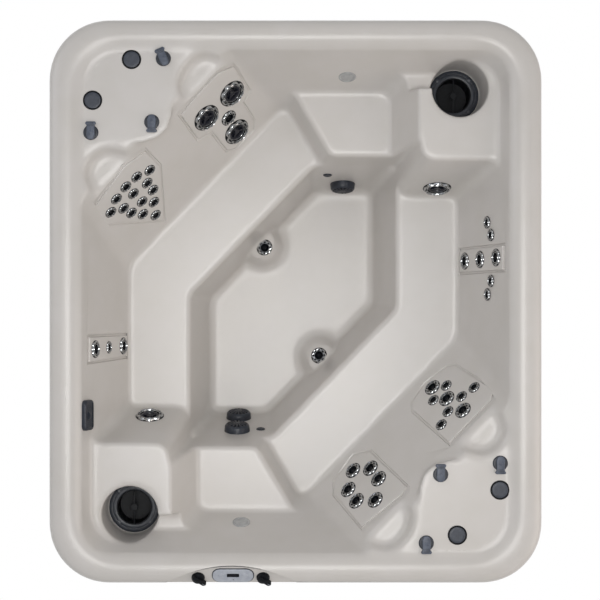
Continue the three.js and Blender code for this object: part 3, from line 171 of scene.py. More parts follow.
room = {"colour": "#f4f5f7", "strength": 0.46}
world = bpy.data.worlds.new("softRoom")
bpy.context.scene.world = world
world.use_nodes = True
world.node_tree.nodes["Background"].inputs["Color"].default_value = toLinear(room["colour"])
world.node_tree.nodes["Background"].inputs["Strength"].default_value = room["strength"]

softBoxes = {
    "overhead": {
        "at": (0, -0.5, 6.4), "aim": (0, 0, 0.6), "size": 2.4, "spread": 80, "power": 26, "colour": "#fffefc",
    },
    "leftWindow": {
        "at": (-4.2, 1.8, 3.8), "aim": (0, 0, 0.7), "size": 2.6, "spread": 180, "power": 26,
        "colour": "#f4f6ff",
    },
    "rightFill": {
        "at": (4.4, -1.5, 3.0), "aim": (0, 0, 0.7), "size": 3.0, "spread": 180, "power": 50,
        "colour": "#fff0e4",
    },
}
for name, box in softBoxes.items():
    light = bpy.data.lights.new(name, "AREA")
    light.shape = "SQUARE"
    light.size = box["size"]
    light.spread = math.radians(box["spread"])
    light.energy = box["power"]
    light.color = toLinear(box["colour"])[:3]
    lamp = bpy.data.objects.new(name, light)
    lamp.location = box["at"]
    lamp.rotation_euler = (Vector(box["aim"]) - Vector(box["at"])).to_track_quat("-Z", "Y").to_euler()
    bpy.context.scene.collection.objects.link(lamp)
print("camera, floor and light ready")


# Materials, in metres on Object coordinates

# Cast acrylic sheet, vacuum-formed over a mould: pale and satin, with a mottle of about 140 mm and very soft
# ripples of about 170 mm from the forming.
acrylic, shader = newMaterial("castAcrylicPearlGrey", {
    "Roughness": 0.3, "IOR": 1.49, "Coat Weight": 0.15, "Coat Roughness": 0.22,
})
place = objectPlace(acrylic)
mottle = addNode(acrylic, "ShaderNodeTexNoise", {"Scale": 7.0, "Detail": 4.0}, {"Vector": place})
acrylic.node_tree.links.new(
    tones(acrylic, mottle.outputs["Fac"], "#cdc9c4", "#d0ccc8"), shader.inputs["Base Color"],
)
acrylic.node_tree.links.new(spread(acrylic, mottle.outputs["Fac"], 0.26, 0.36), shader.inputs["Roughness"])
ripple = addNode(acrylic, "ShaderNodeTexNoise", {"Scale": 6.0, "Detail": 0.0}, {"Vector": place})
bump = addNode(
    acrylic, "ShaderNodeBump", {"Strength": 0.02, "Distance": 0.01}, {"Height": ripple.outputs["Fac"]},
)
acrylic.node_tree.links.new(bump.outputs["Normal"], shader.inputs["Normal"])


def mouldedPlastic(name, low, high, roughness, grain, strength=0.12, extra=None):
    # a moulded or coated skin: patches of about 17 mm with uneven gloss, and a fine grain of its own size
    material, shader = newMaterial(name, {"Roughness": roughness, "IOR": 1.53, **(extra or {})})
    place = objectPlace(material)
    noise = addNode(material, "ShaderNodeTexNoise", {"Scale": 60.0, "Detail": 3.0}, {"Vector": place})
    fine = addNode(material, "ShaderNodeTexNoise", {"Scale": 1 / grain, "Detail": 2.0}, {"Vector": place})
    link = material.node_tree.links.new
    link(tones(material, noise.outputs["Fac"], low, high), shader.inputs["Base Color"])
    link(
        spread(material, noise.outputs["Fac"], roughness - 0.06, roughness + 0.08),
        shader.inputs["Roughness"],
    )
    relief = {"Strength": strength, "Distance": grain}
    bump = addNode(material, "ShaderNodeBump", relief, {"Height": fine.outputs["Fac"]})
    link(bump.outputs["Normal"], shader.inputs["Normal"])
    return material


# Injection-moulded ABS, dark slate: satin, with a spark-eroded grain of about 0.8 mm, drawn at 2 mm to show.
slateAbs = mouldedPlastic("mouldedAbsSlate", "#232831", "#2c313b", 0.38, 0.002)
# The same ABS, almost black, where it faces inwards and stays wet. It is also painted as shade into the cover
# slots, the filter throats and the ledge round the speaker caps. At the jet rims it is partly painted dark
# reflection of the chrome.
coreAbs = mouldedPlastic(
    "mouldedAbsBlack", "#0a0c10", "#14171c", 0.42, 0.002, extra={"Specular IOR Level": 0.18},
)
# Grey-blue ABS of the lever blades, satin.
leverAbs = mouldedPlastic("mouldedAbsSlateBlue", "#4a515f", "#575f6e", 0.42, 0.002)
# The same plastic, a shade darker, moulded as the flush caps of the speakers.
capAbs = mouldedPlastic("mouldedAbsSpeakerCap", "#363b45", "#3f444f", 0.42, 0.002)
# Navy-black ABS of the turning jet faces, satin and always wet.
faceAbs = mouldedPlastic("mouldedAbsJetFace", "#11131d", "#1a1c27", 0.32, 0.002)
# Painted ABS with fine metal flake: silver blue and half metallic.
silverAbs = mouldedPlastic("paintedAbsSilver", "#b3b8c2", "#c1c5cd", 0.34, 0.0015, 0.05, {"Metallic": 0.2})
# Frosted polycarbonate over the lamp: milky, with a soft gloss.
lensPc = mouldedPlastic("frostedPolycarbonate", "#a2a3a4", "#b2b3b2", 0.22, 0.003, 0.06, {
    "Subsurface Weight": 0.2, "Subsurface Radius": (0.01, 0.01, 0.01), "Coat Weight": 0.5,
})
# White PVC pipe, extruded: smooth, faintly yellow.
pvcPipe = mouldedPlastic("extrudedPvcWhite", "#deded8", "#e8e8e3", 0.35, 0.004)
# Powder-coated steel of the control pack: fine orange peel of about 3 mm.
packSteel = mouldedPlastic("powderCoatedSteelGrey", "#b1b4b8", "#bcc0c4", 0.5, 0.003, 0.25)
# Enamelled cast housing of the pump motors, charcoal with a slight metal sheen.
motorPaint = mouldedPlastic(
    "enamelledMotorCharcoal", "#2e3135", "#3a3d42", 0.42, 0.003, 0.2, {"Metallic": 0.3},
)
# Rotationally moulded polyethylene pan: matt, dark and a little waxy.
panPe = mouldedPlastic("mouldedPolyethyleneDark", "#272a2f", "#33363b", 0.55, 0.006, 0.25)
# Pleated polyester filter cloth, off-white and matt.
pleatCloth = mouldedPlastic("pleatedPolyester", "#cfd0cc", "#dddeda", 0.85, 0.004, 0.3)

# Pressed stainless steel, polished: the trim rings of the jets. Streaks follow the press at about 4 mm.
steel, shader = newMaterial("polishedStainlessSteel", {"Metallic": 1.0, "Roughness": 0.16})
place = objectPlace(steel)
noise = addNode(steel, "ShaderNodeTexNoise", {"Scale": 250.0, "Detail": 2.0}, {"Vector": place})
steel.node_tree.links.new(
    tones(steel, noise.outputs["Fac"], "#b2b4b6", "#c8cacb"), shader.inputs["Base Color"],
)
steel.node_tree.links.new(spread(steel, noise.outputs["Fac"], 0.08, 0.2), shader.inputs["Roughness"])

# Liquid-crystal window behind polished acrylic: nearly black, glassy, with a dim field of 2 mm segments.
lcd, shader = newMaterial("lcdBehindGlass", {"Roughness": 0.2, "IOR": 1.49, "Specular IOR Level": 0.25})
place = objectPlace(lcd)
grid = addNode(lcd, "ShaderNodeTexChecker", {
    "Scale": 500.0, "Color1": toLinear("#101218"), "Color2": toLinear("#161920"),
}, {"Vector": place})
lcd.node_tree.links.new(grid.outputs["Color"], shader.inputs["Base Color"])


def boardMaterial(name, low, high, roughness, along, ringScale, depth):
    # wood grain: a wave pattern stretched along the board and roughened by noise
    material, shader = newMaterial(name, {"Roughness": roughness, "IOR": 1.5})
    place = objectPlace(material, along)
    wave = addNode(material, "ShaderNodeTexWave", {
        "Scale": ringScale, "Distortion": 7.0, "Detail": 3.0, "Detail Scale": 1.6,
        "bands_direction": "DIAGONAL",
    }, {"Vector": place})
    fibre = addNode(
        material, "ShaderNodeTexNoise", {"Scale": ringScale * 12, "Detail": 3.0}, {"Vector": place},
    )
    mixed = addNode(material, "ShaderNodeMath", {"operation": "MULTIPLY_ADD"})
    link = material.node_tree.links.new
    link(fibre.outputs["Fac"], mixed.inputs[0])
    mixed.inputs[1].default_value = 0.45
    link(wave.outputs["Fac"], mixed.inputs[2])
    link(tones(material, mixed.outputs[0], low, high, 0.15, 1.2), shader.inputs["Base Color"])
    link(spread(material, fibre.outputs["Fac"], roughness - 0.1, roughness + 0.1), shader.inputs["Roughness"])
    bump = addNode(
        material, "ShaderNodeBump", {"Strength": 0.35, "Distance": depth}, {"Height": mixed.outputs[0]},
    )
    link(bump.outputs["Normal"], shader.inputs["Normal"])
    return material


# Wood-plastic composite boards, embossed by a roller with grain lines about 8 mm apart.
composite = boardMaterial("embossedCompositeBoard", "#5a4a3d", "#786656", 0.6, (1, 1, 0.12), 40.0, 0.001)
# Sawn pine of the frame: growth rings about 6 mm apart, matt.
pine = boardMaterial("sawnPine", "#a47b4c", "#c59c6a", 0.75, (1, 1, 0.15), 55.0, 0.001)
print("materials ready")


# Small modelling helpers

def placed(part, place):
    bmesh.ops.transform(part, matrix=place, verts=part.verts)
    return part


def drawIn(vert, factor):
    # moves a vertex towards the Z axis
    vert.co.x *= factor
    vert.co.y *= factor


def addPart(target, part, place=still, materialIndex=None):
    # moves a finished part to its place and adds it to a piece
    placed(part, place)
    if materialIndex is not None:
        for face in part.faces:
            face.material_index = materialIndex
    mesh = bpy.data.meshes.new("part")
    part.to_mesh(mesh)
    part.free()
    target.from_mesh(mesh)
    bpy.data.meshes.remove(mesh)


def makeObject(name, piece, materials=()):
    mesh = bpy.data.meshes.new(name)
    piece.to_mesh(mesh)
    piece.free()
    for material in materials:
        mesh.materials.append(material)
    thing = bpy.data.objects.new(name, mesh)
    bpy.context.scene.collection.objects.link(thing)
    return thing


def makePiece(name, piece, materials, body="tub", stands=(), sharpAngle=38, place=still):
    thing = makeObject(name, placed(placed(piece, place), toRow), materials)
    thing.data.shade_smooth()
    thing.data.set_sharp_from_angle(angle=math.radians(sharpAngle))
    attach(thing, body)
    if stands:
        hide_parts(*stands)
    return thing


def bakeModifiers(thing):
    bpy.context.view_layer.update()
    mesh = bpy.data.meshes.new_from_object(thing.evaluated_get(bpy.context.evaluated_depsgraph_get()))
    thing.modifiers.clear()
    old, thing.data = thing.data, mesh
    bpy.data.meshes.remove(old)


def cutFrom(thing, cutters):
    # takes every cutter away from the object in one boolean
    group = bpy.data.collections.new("cutters")
    bpy.context.scene.collection.children.link(group)
    for cutter in cutters:
        mesh = bpy.data.meshes.new("cutter")
        cutter.to_mesh(mesh)
        cutter.free()
        group.objects.link(bpy.data.objects.new("cutter", mesh))
    boolean = thing.modifiers.new("cut", "BOOLEAN")
    boolean.operation = "DIFFERENCE"
    boolean.operand_type = "COLLECTION"
    boolean.collection = group
    boolean.solver = "EXACT"
    bakeModifiers(thing)
    for cutter in list(group.objects):
        mesh = cutter.data
        bpy.data.objects.remove(cutter)
        bpy.data.meshes.remove(mesh)
    bpy.data.collections.remove(group)


def takeBack(thing):
    # the object's mesh as a bmesh again, and the object gone
    piece = bmesh.new()
    piece.from_mesh(thing.data)
    mesh = thing.data
    bpy.data.objects.remove(thing)
    bpy.data.meshes.remove(mesh)
    return piece


def lathe(profile, segments):
    # a profile of (radius, height) spun round Z and closed at its ends
    part = bmesh.new()
    chain = [part.verts.new((radius, 0, z)) for radius, z in profile]
    edges = [part.edges.new(pair) for pair in zip(chain, chain[1:])]
    bmesh.ops.spin(
        part, geom=chain + edges, cent=(0, 0, 0), axis=(0, 0, 1), angle=math.tau, steps=segments,
        use_merge=True,
    )
    bmesh.ops.remove_doubles(part, verts=part.verts, dist=0.001)
    bmesh.ops.recalc_face_normals(part, faces=part.faces)
    return part


def newVerts(made):
    # the vertices among what an extrusion made
    return [item for item in made["geom"] if isinstance(item, bmesh.types.BMVert)]


def bevelEdges(part, edges, offset, segments=2):
    bmesh.ops.bevel(
        part, geom=edges, offset=offset, segments=segments, profile=0.5, affect="EDGES", material=-1,
        clamp_overlap=True,
    )


def tapered(lowCorners, low, highCorners, high, radii=None, segments=6):
    # a face raised to a second outline; the upright edges are rounded by their own radii
    part = bmesh.new()
    bottom = [part.verts.new((c[0], c[1], low)) for c in lowCorners]
    bmesh.ops.extrude_face_region(part, geom=[part.faces.new(bottom)])
    part.edges.ensure_lookup_table()
    uprights = []
    for i, vert in enumerate(bottom):
        edge = next(e for e in vert.link_edges if e.other_vert(vert) not in bottom)
        edge.other_vert(vert).co = (highCorners[i][0], highCorners[i][1], high)
        uprights.append(edge)
    bmesh.ops.recalc_face_normals(part, faces=part.faces)
    if radii:
        corners = [Vector(c[:2]) for c in lowCorners]
        for i, edge in enumerate(uprights):
            before, after = corners[i - 1] - corners[i], corners[(i + 1) % len(corners)] - corners[i]
            reach = radii[i] / math.tan(before.angle(after) / 2)
            room = min(before.length, after.length) * 0.46
            bevelEdges(part, [edge], min(reach, room), segments)
    return part


def slab(outline, low, high, bevel=0.0, segments=3, radii=None):
    part = tapered(outline, low, outline, high, radii)
    if bevel:
        rim = [e for e in part.edges if all(abs(v.co.z - high) < 0.0001 for v in e.verts)]
        bevelEdges(part, rim, bevel, segments)
    return part


def rod(start, end, radius, segments=16):
    start, end = Vector(start), Vector(end)
    part = bmesh.new()
    bmesh.ops.create_cone(
        part, cap_ends=True, segments=segments, radius1=radius, radius2=radius, depth=(end - start).length,
    )
    turn = (end - start).to_track_quat("Z", "Y").to_matrix().to_4x4()
    bmesh.ops.transform(part, matrix=Matrix.Translation((start + end) / 2) @ turn, verts=part.verts)
    return part


def block(size, centre, bevel=0.0, segments=2):
    part = bmesh.new()
    bmesh.ops.create_cube(part, size=1)
    bmesh.ops.scale(part, vec=size, verts=part.verts)
    bmesh.ops.translate(part, vec=centre, verts=part.verts)
    if bevel:
        bevelEdges(part, part.edges[:], bevel, segments)
    return part


def offsetCorners(corners, distances):
    # every edge moves outwards by its own distance and meets its neighbours again
    count = len(corners)
    along = [(corners[(i + 1) % count] - corners[i]).normalized() for i in range(count)]
    starts = [corners[i] + Vector((along[i].y, -along[i].x)) * distances[i] for i in range(count)]
    moved = []
    for i in range(count):
        before, edge = along[i - 1], along[i]
        gap = starts[i] - starts[i - 1]
        reach = (gap.x * edge.y - gap.y * edge.x) / (before.x * edge.y - before.y * edge.x)
        moved.append(starts[i - 1] + before * reach)
    return moved


def fromShares(shares):
    return [Vector((x * halfX, y * halfY)) for x, y in shares]


def bothHalves(shares):
    half = fromShares(shares)
    return half + [-corner for corner in half]


def rectangle(x, y):
    return [Vector(corner) for corner in ((x, -y), (x, y), (-x, y), (-x, -y))]


def hollowSolid(hollow):
    # a hollow of the mould as a solid, from its floor to just above the tub
    reach = [lean * (cutTop - hollow["floor"]) for lean in hollow["leans"]]
    return tapered(
        hollow["corners"], hollow["floor"], offsetCorners(hollow["corners"], reach), cutTop, hollow["radii"],
    )


def wallSize(hollow, edge):
    start, end = hollow["corners"][edge], hollow["corners"][(edge + 1) % len(hollow["corners"])]
    return (end - start).length, (hollow["top"] - hollow["floor"]) * math.hypot(1, hollow["leans"][edge])


def wallPlace(hollow, edge, alongShare=0, upShare=0, lift=0):
    # a place on a sloping wall: X runs back along it, Y up its slope and Z off it
    start, end = hollow["corners"][edge], hollow["corners"][(edge + 1) % len(hollow["corners"])]
    lean = hollow["leans"][edge]
    length, slope = wallSize(hollow, edge)
    along = (end - start).normalized().to_3d()
    up = Vector((along.y * lean, -along.x * lean, 1)).normalized()
    off = up.cross(along)
    origin = start.to_3d() + Vector((0, 0, hollow["floor"]))
    origin += along * alongShare * length + up * upShare * slope + off * lift
    turn = Matrix((-along, up, off)).transposed().to_4x4()
    return Matrix.Translation(origin) @ turn


def bothPlaces(place):
    return [place, halfTurn @ place]


# The hollows of the basin

deckHalf = {"x": 930, "y": 1096, "lip": 1.2}
benchRise = level["deck"] - level["bench"]
benchEdge = {"x": 0.719 * halfX, "y": 0.735 * halfY}
sideLean = (deckHalf["x"] - deckHalf["lip"] - benchEdge["x"]) / benchRise
endLean = (deckHalf["y"] - deckHalf["lip"] - benchEdge["y"]) / benchRise
leans = [0.351, 0.2, 0.218, 0.31, endLean, 0.683, sideLean]
bench = {
    "corners": bothHalves([
        (0.719, 0.404), (0.448, 0.404), (0.448, 0.517), (0.126, 0.517), (-0.019, 0.735), (-0.06, 0.735),
        (-0.719, 0.14),
    ]),
    "leans": leans * 2, "radii": [45, 138, 40, 45, 60, 60, 110] * 2,
    "floor": level["bench"], "top": level["deck"],
}
footwell = {
    "corners": bothHalves([(0.377, 0.449), (0.106, 0.449), (-0.377, 0.013)]), "leans": [0.218, 0.17, 0.2] * 2,
    "radii": [45] * 6, "floor": level["footwell"], "top": level["bench"],
}
step = {
    "corners": fromShares([(0.415, 0.459), (0.415, 0.785), (-0.056, 0.785), (-0.056, 0.656), (0.141, 0.459)]),
    "leans": [0.435, endLean, 0, 0, 0], "radii": [55] * 5, "floor": level["step"], "top": level["deck"],
}
plateauX = benchEdge["x"] + (level["plateau"] - level["bench"]) * sideLean
plateauY = benchEdge["y"] + (level["plateau"] - level["bench"]) * endLean
plateau = {
    "corners": [Vector(c) for c in (
        (plateauX, 0.459 * halfY), (plateauX, plateauY), (0.469 * halfX, plateauY),
        (0.469 * halfX, 0.459 * halfY),
    )],
    "leans": [sideLean, endLean, 0, 0], "radii": [18, 130, 18, 18], "floor": level["plateau"],
    "top": level["deck"],
}
well = {
    "radius": 119, "ledge": level["plateau"] - 238, "draft": 0.02,
    "at": Vector((plateauX - 171.5, plateauY - 120.8)),
}
weirEndY = benchEdge["y"] + (level["weir"] - level["bench"]) * endLean - 1
weir = {
    "corners": [
        Vector((well["at"].x, well["at"].y + 8)), Vector((well["at"].x, weirEndY)),
        Vector((0.44 * halfX, weirEndY)), Vector((0.44 * halfX, well["at"].y + 8)),
    ],
    "leans": [0, endLean, 0, 0.08], "radii": [6] * 4, "floor": level["weir"], "top": level["deck"],
}
scoops = [
    {
        "corners": fromShares(shares), "leans": [0.35] * len(shares), "radii": [60] * len(shares),
        "floor": level["scoop"],
    }
    for shares in (
        [(-0.638, 0.486), (-0.695, 0.52), (-0.763, 0.536), (-0.815, 0.513), (-0.848, 0.459), (-0.825, 0.404),
         (-0.785, 0.35)],
        [(-0.258, 0.83), (-0.319, 0.863), (-0.361, 0.874), (-0.405, 0.863), (-0.448, 0.82), (-0.467, 0.771),
         (-0.459, 0.738), (-0.406, 0.692)],
    )
]
deck = {
    "corners": rectangle(deckHalf["x"], deckHalf["y"]), "leans": [42 / 27] * 4, "radii": [150] * 4,
    "floor": level["deck"], "top": tub["height"],
}
nose = {
    "corners": fromShares([
        (-0.68, 0.72), (-0.73, 0.552), (-0.62, 0.562), (-0.557, 0.578), (-0.516, 0.61), (-0.497, 0.668),
        (-0.5, 0.79),
    ]),
    "tip": 3, "depth": 150, "inset": 75, "radius": 55,
}
pad = {
    "at": Vector((-0.132 * halfX, 0.222 * halfY)), "base": 114, "top": 68, "height": 96, "sunk": 16,
    "tiltDrop": 26,
}
rim = {
    "radius": 260, "low": 50, "roll": 930, "skirt": 880, "shoulder": [(4, 13), (9, 10), (20, 7), (36, 5)],
}


def pairOf(part):
    return [part, placed(part.copy(), halfTurn)]


def noseSolid():
    travel = (nose["corners"][0] - nose["corners"][nose["tip"]]).normalized() * nose["inset"]
    lowCorners = [corner + travel for corner in nose["corners"]]
    radii = [nose["radius"]] * len(lowCorners)
    return tapered(lowCorners, level["deck"] - nose["depth"], nose["corners"], level["deck"], radii, 4)


backrestAlong = (footwell["corners"][2] - footwell["corners"][1]).normalized()
padOut = Vector((backrestAlong.y, -backrestAlong.x))
padTilt = pad["tiltDrop"] / pad["top"]


def padSolid():
    part = bmesh.new()
    tall = pad["height"] + pad["sunk"]
    bmesh.ops.create_cone(
        part, cap_ends=True, segments=48, radius1=pad["base"], radius2=pad["top"], depth=tall,
    )
    bmesh.ops.translate(part, vec=(0, 0, footwell["floor"] - pad["sunk"] + tall / 2), verts=part.verts)
    for vert in part.verts:
        if vert.co.z > footwell["floor"]:
            vert.co.z += vert.co.xy.dot(padOut) * padTilt
    bmesh.ops.translate(part, vec=pad["at"].to_3d(), verts=part.verts)
    return part


def wellSolid():
    part = bmesh.new()
    depth = cutTop - well["ledge"]
    bmesh.ops.create_cone(
        part, cap_ends=True, segments=64, radius1=well["radius"],
        radius2=well["radius"] + depth * well["draft"],
        depth=depth,
    )
    bmesh.ops.translate(part, vec=(well["at"].x, well["at"].y, well["ledge"] + depth / 2), verts=part.verts)
    return part


def hollowWithout(hollow, solids):
    # a hollow from which standing forms are left in place
    thing = makeObject("hollow", hollowSolid(hollow))
    cutFrom(thing, solids)
    return takeBack(thing)


shellForm = {
    "voxel": 8, "softness": 6, "wideSoftness": 9, "deepSoftness": 25, "scoopSoftness": 16, "scoopReach": 165,
    "rimSoftness": 25, "keep": 0.24, "wall": 8, "basin": (965, 1135), "under": 90,
}
mould = tapered(
    rectangle(halfX, halfY), rim["low"], rectangle(halfX, halfY), rim["roll"], [rim["radius"]] * 4, 16,
)
for width, rise in rim["shoulder"]:
    topFace = max(mould.faces, key=lambda face: face.calc_center_median().z)
    bmesh.ops.inset_region(mould, faces=[topFace], thickness=width, depth=rise, use_even_offset=True)
shellThing = makeObject("shell", mould)
hollows = [
    hollowSolid(deck), hollowWithout(bench, pairOf(noseSolid())), hollowWithout(footwell, pairOf(padSolid())),
]
for form in (
    hollowSolid(step), hollowSolid(plateau), hollowSolid(weir), wellSolid(), *map(hollowSolid, scoops),
):
    hollows.extend(pairOf(form))
cutFrom(shellThing, hollows)
print("basin hollows cut:", len(shellThing.data.polygons))

# the sheet stretches softly over every edge of the mould
remesh = shellThing.modifiers.new("remesh", "REMESH")
remesh.mode = "VOXEL"
remesh.voxel_size = shellForm["voxel"]
relax = shellThing.modifiers.new("relax", "SMOOTH")
relax.factor = 0.5
relax.iterations = shellForm["softness"]
bakeModifiers(shellThing)
print("shell softened:", len(shellThing.data.polygons))

shellPiece = takeBack(shellThing)


def soften(verts, rounds):
    for _ in range(rounds):
        bmesh.ops.smooth_vert(
            shellPiece, verts=verts, factor=0.5, use_axis_x=True, use_axis_y=True, use_axis_z=True,
        )


def inFilter(spot):
    near = (spot.xy - well["at"]).length < well["radius"] + 30 and spot.z < level["plateau"] - 20
    alongWeir = abs(spot.y - (well["at"].y + weirEndY) / 2) < 60 and 0.4 * halfX < spot.x < well["at"].x
    return near or (alongWeir and level["weir"] - 30 < spot.z < level["plateau"] + 12)


def inFootwell(spot):
    return level["footwell"] - 20 < spot.z < level["footwell"] + 80 and abs(spot.x) < 700


# the pot of the filter and its weir stay crisper than the rest of the sheet
soften(
    [v for v in shellPiece.verts if not inFilter(v.co) and not inFilter(halfTurn @ v.co)],
    shellForm["wideSoftness"],
)
# the sheet thins and rounds most in the deep corners of the footwell and in the scoops
soften([v for v in shellPiece.verts if inFootwell(v.co)], shellForm["deepSoftness"])
scoopMiddles = [sum(scoop["corners"], Vector((0, 0))) / len(scoop["corners"]) for scoop in scoops]
scoopMiddles += [-middle for middle in scoopMiddles]
soften([v for v in shellPiece.verts if v.co.z > level["scoop"] - 12 and any(
    (v.co.xy - middle).length < shellForm["scoopReach"] for middle in scoopMiddles
)], shellForm["scoopSoftness"])


def overRim(spot):
    # from the foot of the rim's inner slope to the start of its outer shoulder
    corner = deck["radii"][0]
    reach = Vector(
        [max(abs(s) - size + corner, 0) for s, size in zip(spot.xy, (deckHalf["x"], deckHalf["y"]))]
    )
    return spot.z > level["deck"] - 8 and -8 < reach.length - corner < 80


soften([v for v in shellPiece.verts if overRim(v.co)], shellForm["rimSoftness"])


def atSkirt(face, below):
    # outside the basin and lower than the given height
    centre = face.calc_center_median()
    return centre.z < below and any(abs(c) > size for c, size in zip(centre.xy, shellForm["basin"]))


# only the moulded side stays: what would be inside the mould goes
hidden = [f for f in shellPiece.faces if (
    f.calc_center_median().z < shellForm["under"] or atSkirt(f, rim["skirt"] - shellForm["wall"]))]
bmesh.ops.delete(shellPiece, geom=hidden, context="FACES")
shellThing = makeObject("shell", shellPiece)
thin = shellThing.modifiers.new("thin", "DECIMATE")
thin.ratio = shellForm["keep"]
bakeModifiers(shellThing)
shellPiece = takeBack(shellThing)
print("shell trimmed:", len(shellPiece.faces))
skirt = [f for f in shellPiece.faces if atSkirt(f, rim["skirt"] + 30)]
skirtGeom = list({v for f in skirt for v in f.verts}) + list({e for f in skirt for e in f.edges}) + skirt
bmesh.ops.bisect_plane(
    shellPiece, geom=skirtGeom, dist=0.001, plane_co=(0, 0, rim["skirt"]), plane_no=(0, 0, 1),
    clear_inner=True,
)
shellThing = makeObject("shell", shellPiece)
sheetWall = shellThing.modifiers.new("sheet", "SOLIDIFY")
sheetWall.thickness = shellForm["wall"]
sheetWall.offset = -1
bakeModifiers(shellThing)
print("shell sheet made:", len(shellThing.data.polygons))
holes = []  # every fitting adds the hole that it needs in the shell
grooves = []  # every raised facet adds the soft groove round it


def holeAt(radius, place, low=-24, high=12):
    # notes the round hole that a fitting needs in the shell and in the raised facets
    holes.append(placed(rod((0, 0, low), (0, 0, high), radius, 24), place))


def paintFaces(part, materialIndex, chosen):
    for face in part.faces:
        if chosen(face.calc_center_median()):
            face.material_index = materialIndex


def spinPhase(centre, repeats):
    # 0 to 1 within each of the equal sectors round Z
    return (math.atan2(centre.y, centre.x) / math.tau * repeats + 0.5) % 1


# Jets: pressed steel trim rings on dark cores, with pipes and manifolds behind the wall

jetKinds = {
    "mini": {"face": 28, "body": 15}, "medium": {"face": 39.5, "body": 23},
    "rotary": {"face": 65, "body": 47.5},
}
# core and pipe are material indices, and lobe is how far the notches go in
jetTrim = {"core": 1, "pipe": 2, "depth": 46, "notches": 8, "lobe": 0.13, "gasket": 1.2}
panelForm = {
    "raise": 3, "inset": 14, "podThickness": 28, "groove": 8, "lowSlope": 6, "highSlope": 20,
    "grooveDepth": 6.5, "bed": 3.7, "tie": 11,
}


def jetPart(kind):
    face, body = jetKinds[kind]["face"], jetKinds[kind]["body"]
    depth, notches = jetTrim["depth"], jetTrim["notches"]
    if kind == "rotary":
        profile = [
            (0, -14), (43.4, -14), (43.8, 8), (44.8, 10.2), (46.2, 10.4), (47.4, 8.2), (53.2, 7.4),
            (55, 11.4), (57.6, 12.4), (60, 10), (61.8, 4.4), (62.6, 1.4), (63, clearance), (body, clearance),
            (body, -depth), (0, -depth),
        ]
        band = (47.4, 53.2)
    else:
        shares = [
            (0, -0.2), (0.08, -0.2), (0.1, 0.06), (0.17, 0.08), (0.24, 0.02), (0.32, -0.12), (0.46, -0.18),
            (0.52, 0.1), (0.545, 0.15), (0.58, 0.15), (0.61, 0.08), (0.74, 0.07), (0.78, 0.16), (0.85, 0.18),
            (0.91, 0.13), (0.95, 0.04), (0.965, 0.012),
        ]
        profile = [(r * face, z * face) for r, z in shares]
        profile += [(body, clearance), (body, -depth), (0, -depth)]
        band = (0.61 * face, 0.74 * face)
    part = lathe(profile, notches * 8)
    for vert in part.verts:
        radius = vert.co.xy.length
        if radius > band[1] * 1.04 and vert.co.z > 0:
            lobe = 0.5 - 0.5 * math.cos(notches * math.atan2(vert.co.y, vert.co.x))
            drawIn(vert, 1 - jetTrim["lobe"] * lobe ** 2)
    paintFaces(
        part, jetTrim["core"],
        lambda c: c.xy.length < (43.6 if kind == "rotary" else 0.5 * face) and c.z > -40,
    )
    # the windows between the notches are painted black: partly the black base that a real jet shows there, partly
    # painted dark reflection of the chrome
    paintFaces(part, jetTrim["core"], lambda c: (
        band[0] < c.xy.length < band[1] and c.z > 1 and 0.3 < spinPhase(c, notches) < 0.7))
    paintFaces(part, jetTrim["pipe"], lambda c: c.z < -16 and c.xy.length > body * 0.4)
    # the thin black gasket showing round the rim is partly a real gasket, partly a painted dark outline standing
    # for the chrome's dark reflection
    gasket = lathe([
        (body, clearance), (face, clearance), (face, 0.9), (face - 0.6, jetTrim["gasket"]),
        (body, jetTrim["gasket"]), (body, clearance),
    ], notches * 6)
    addPart(part, gasket, still, jetTrim["core"])
    return part


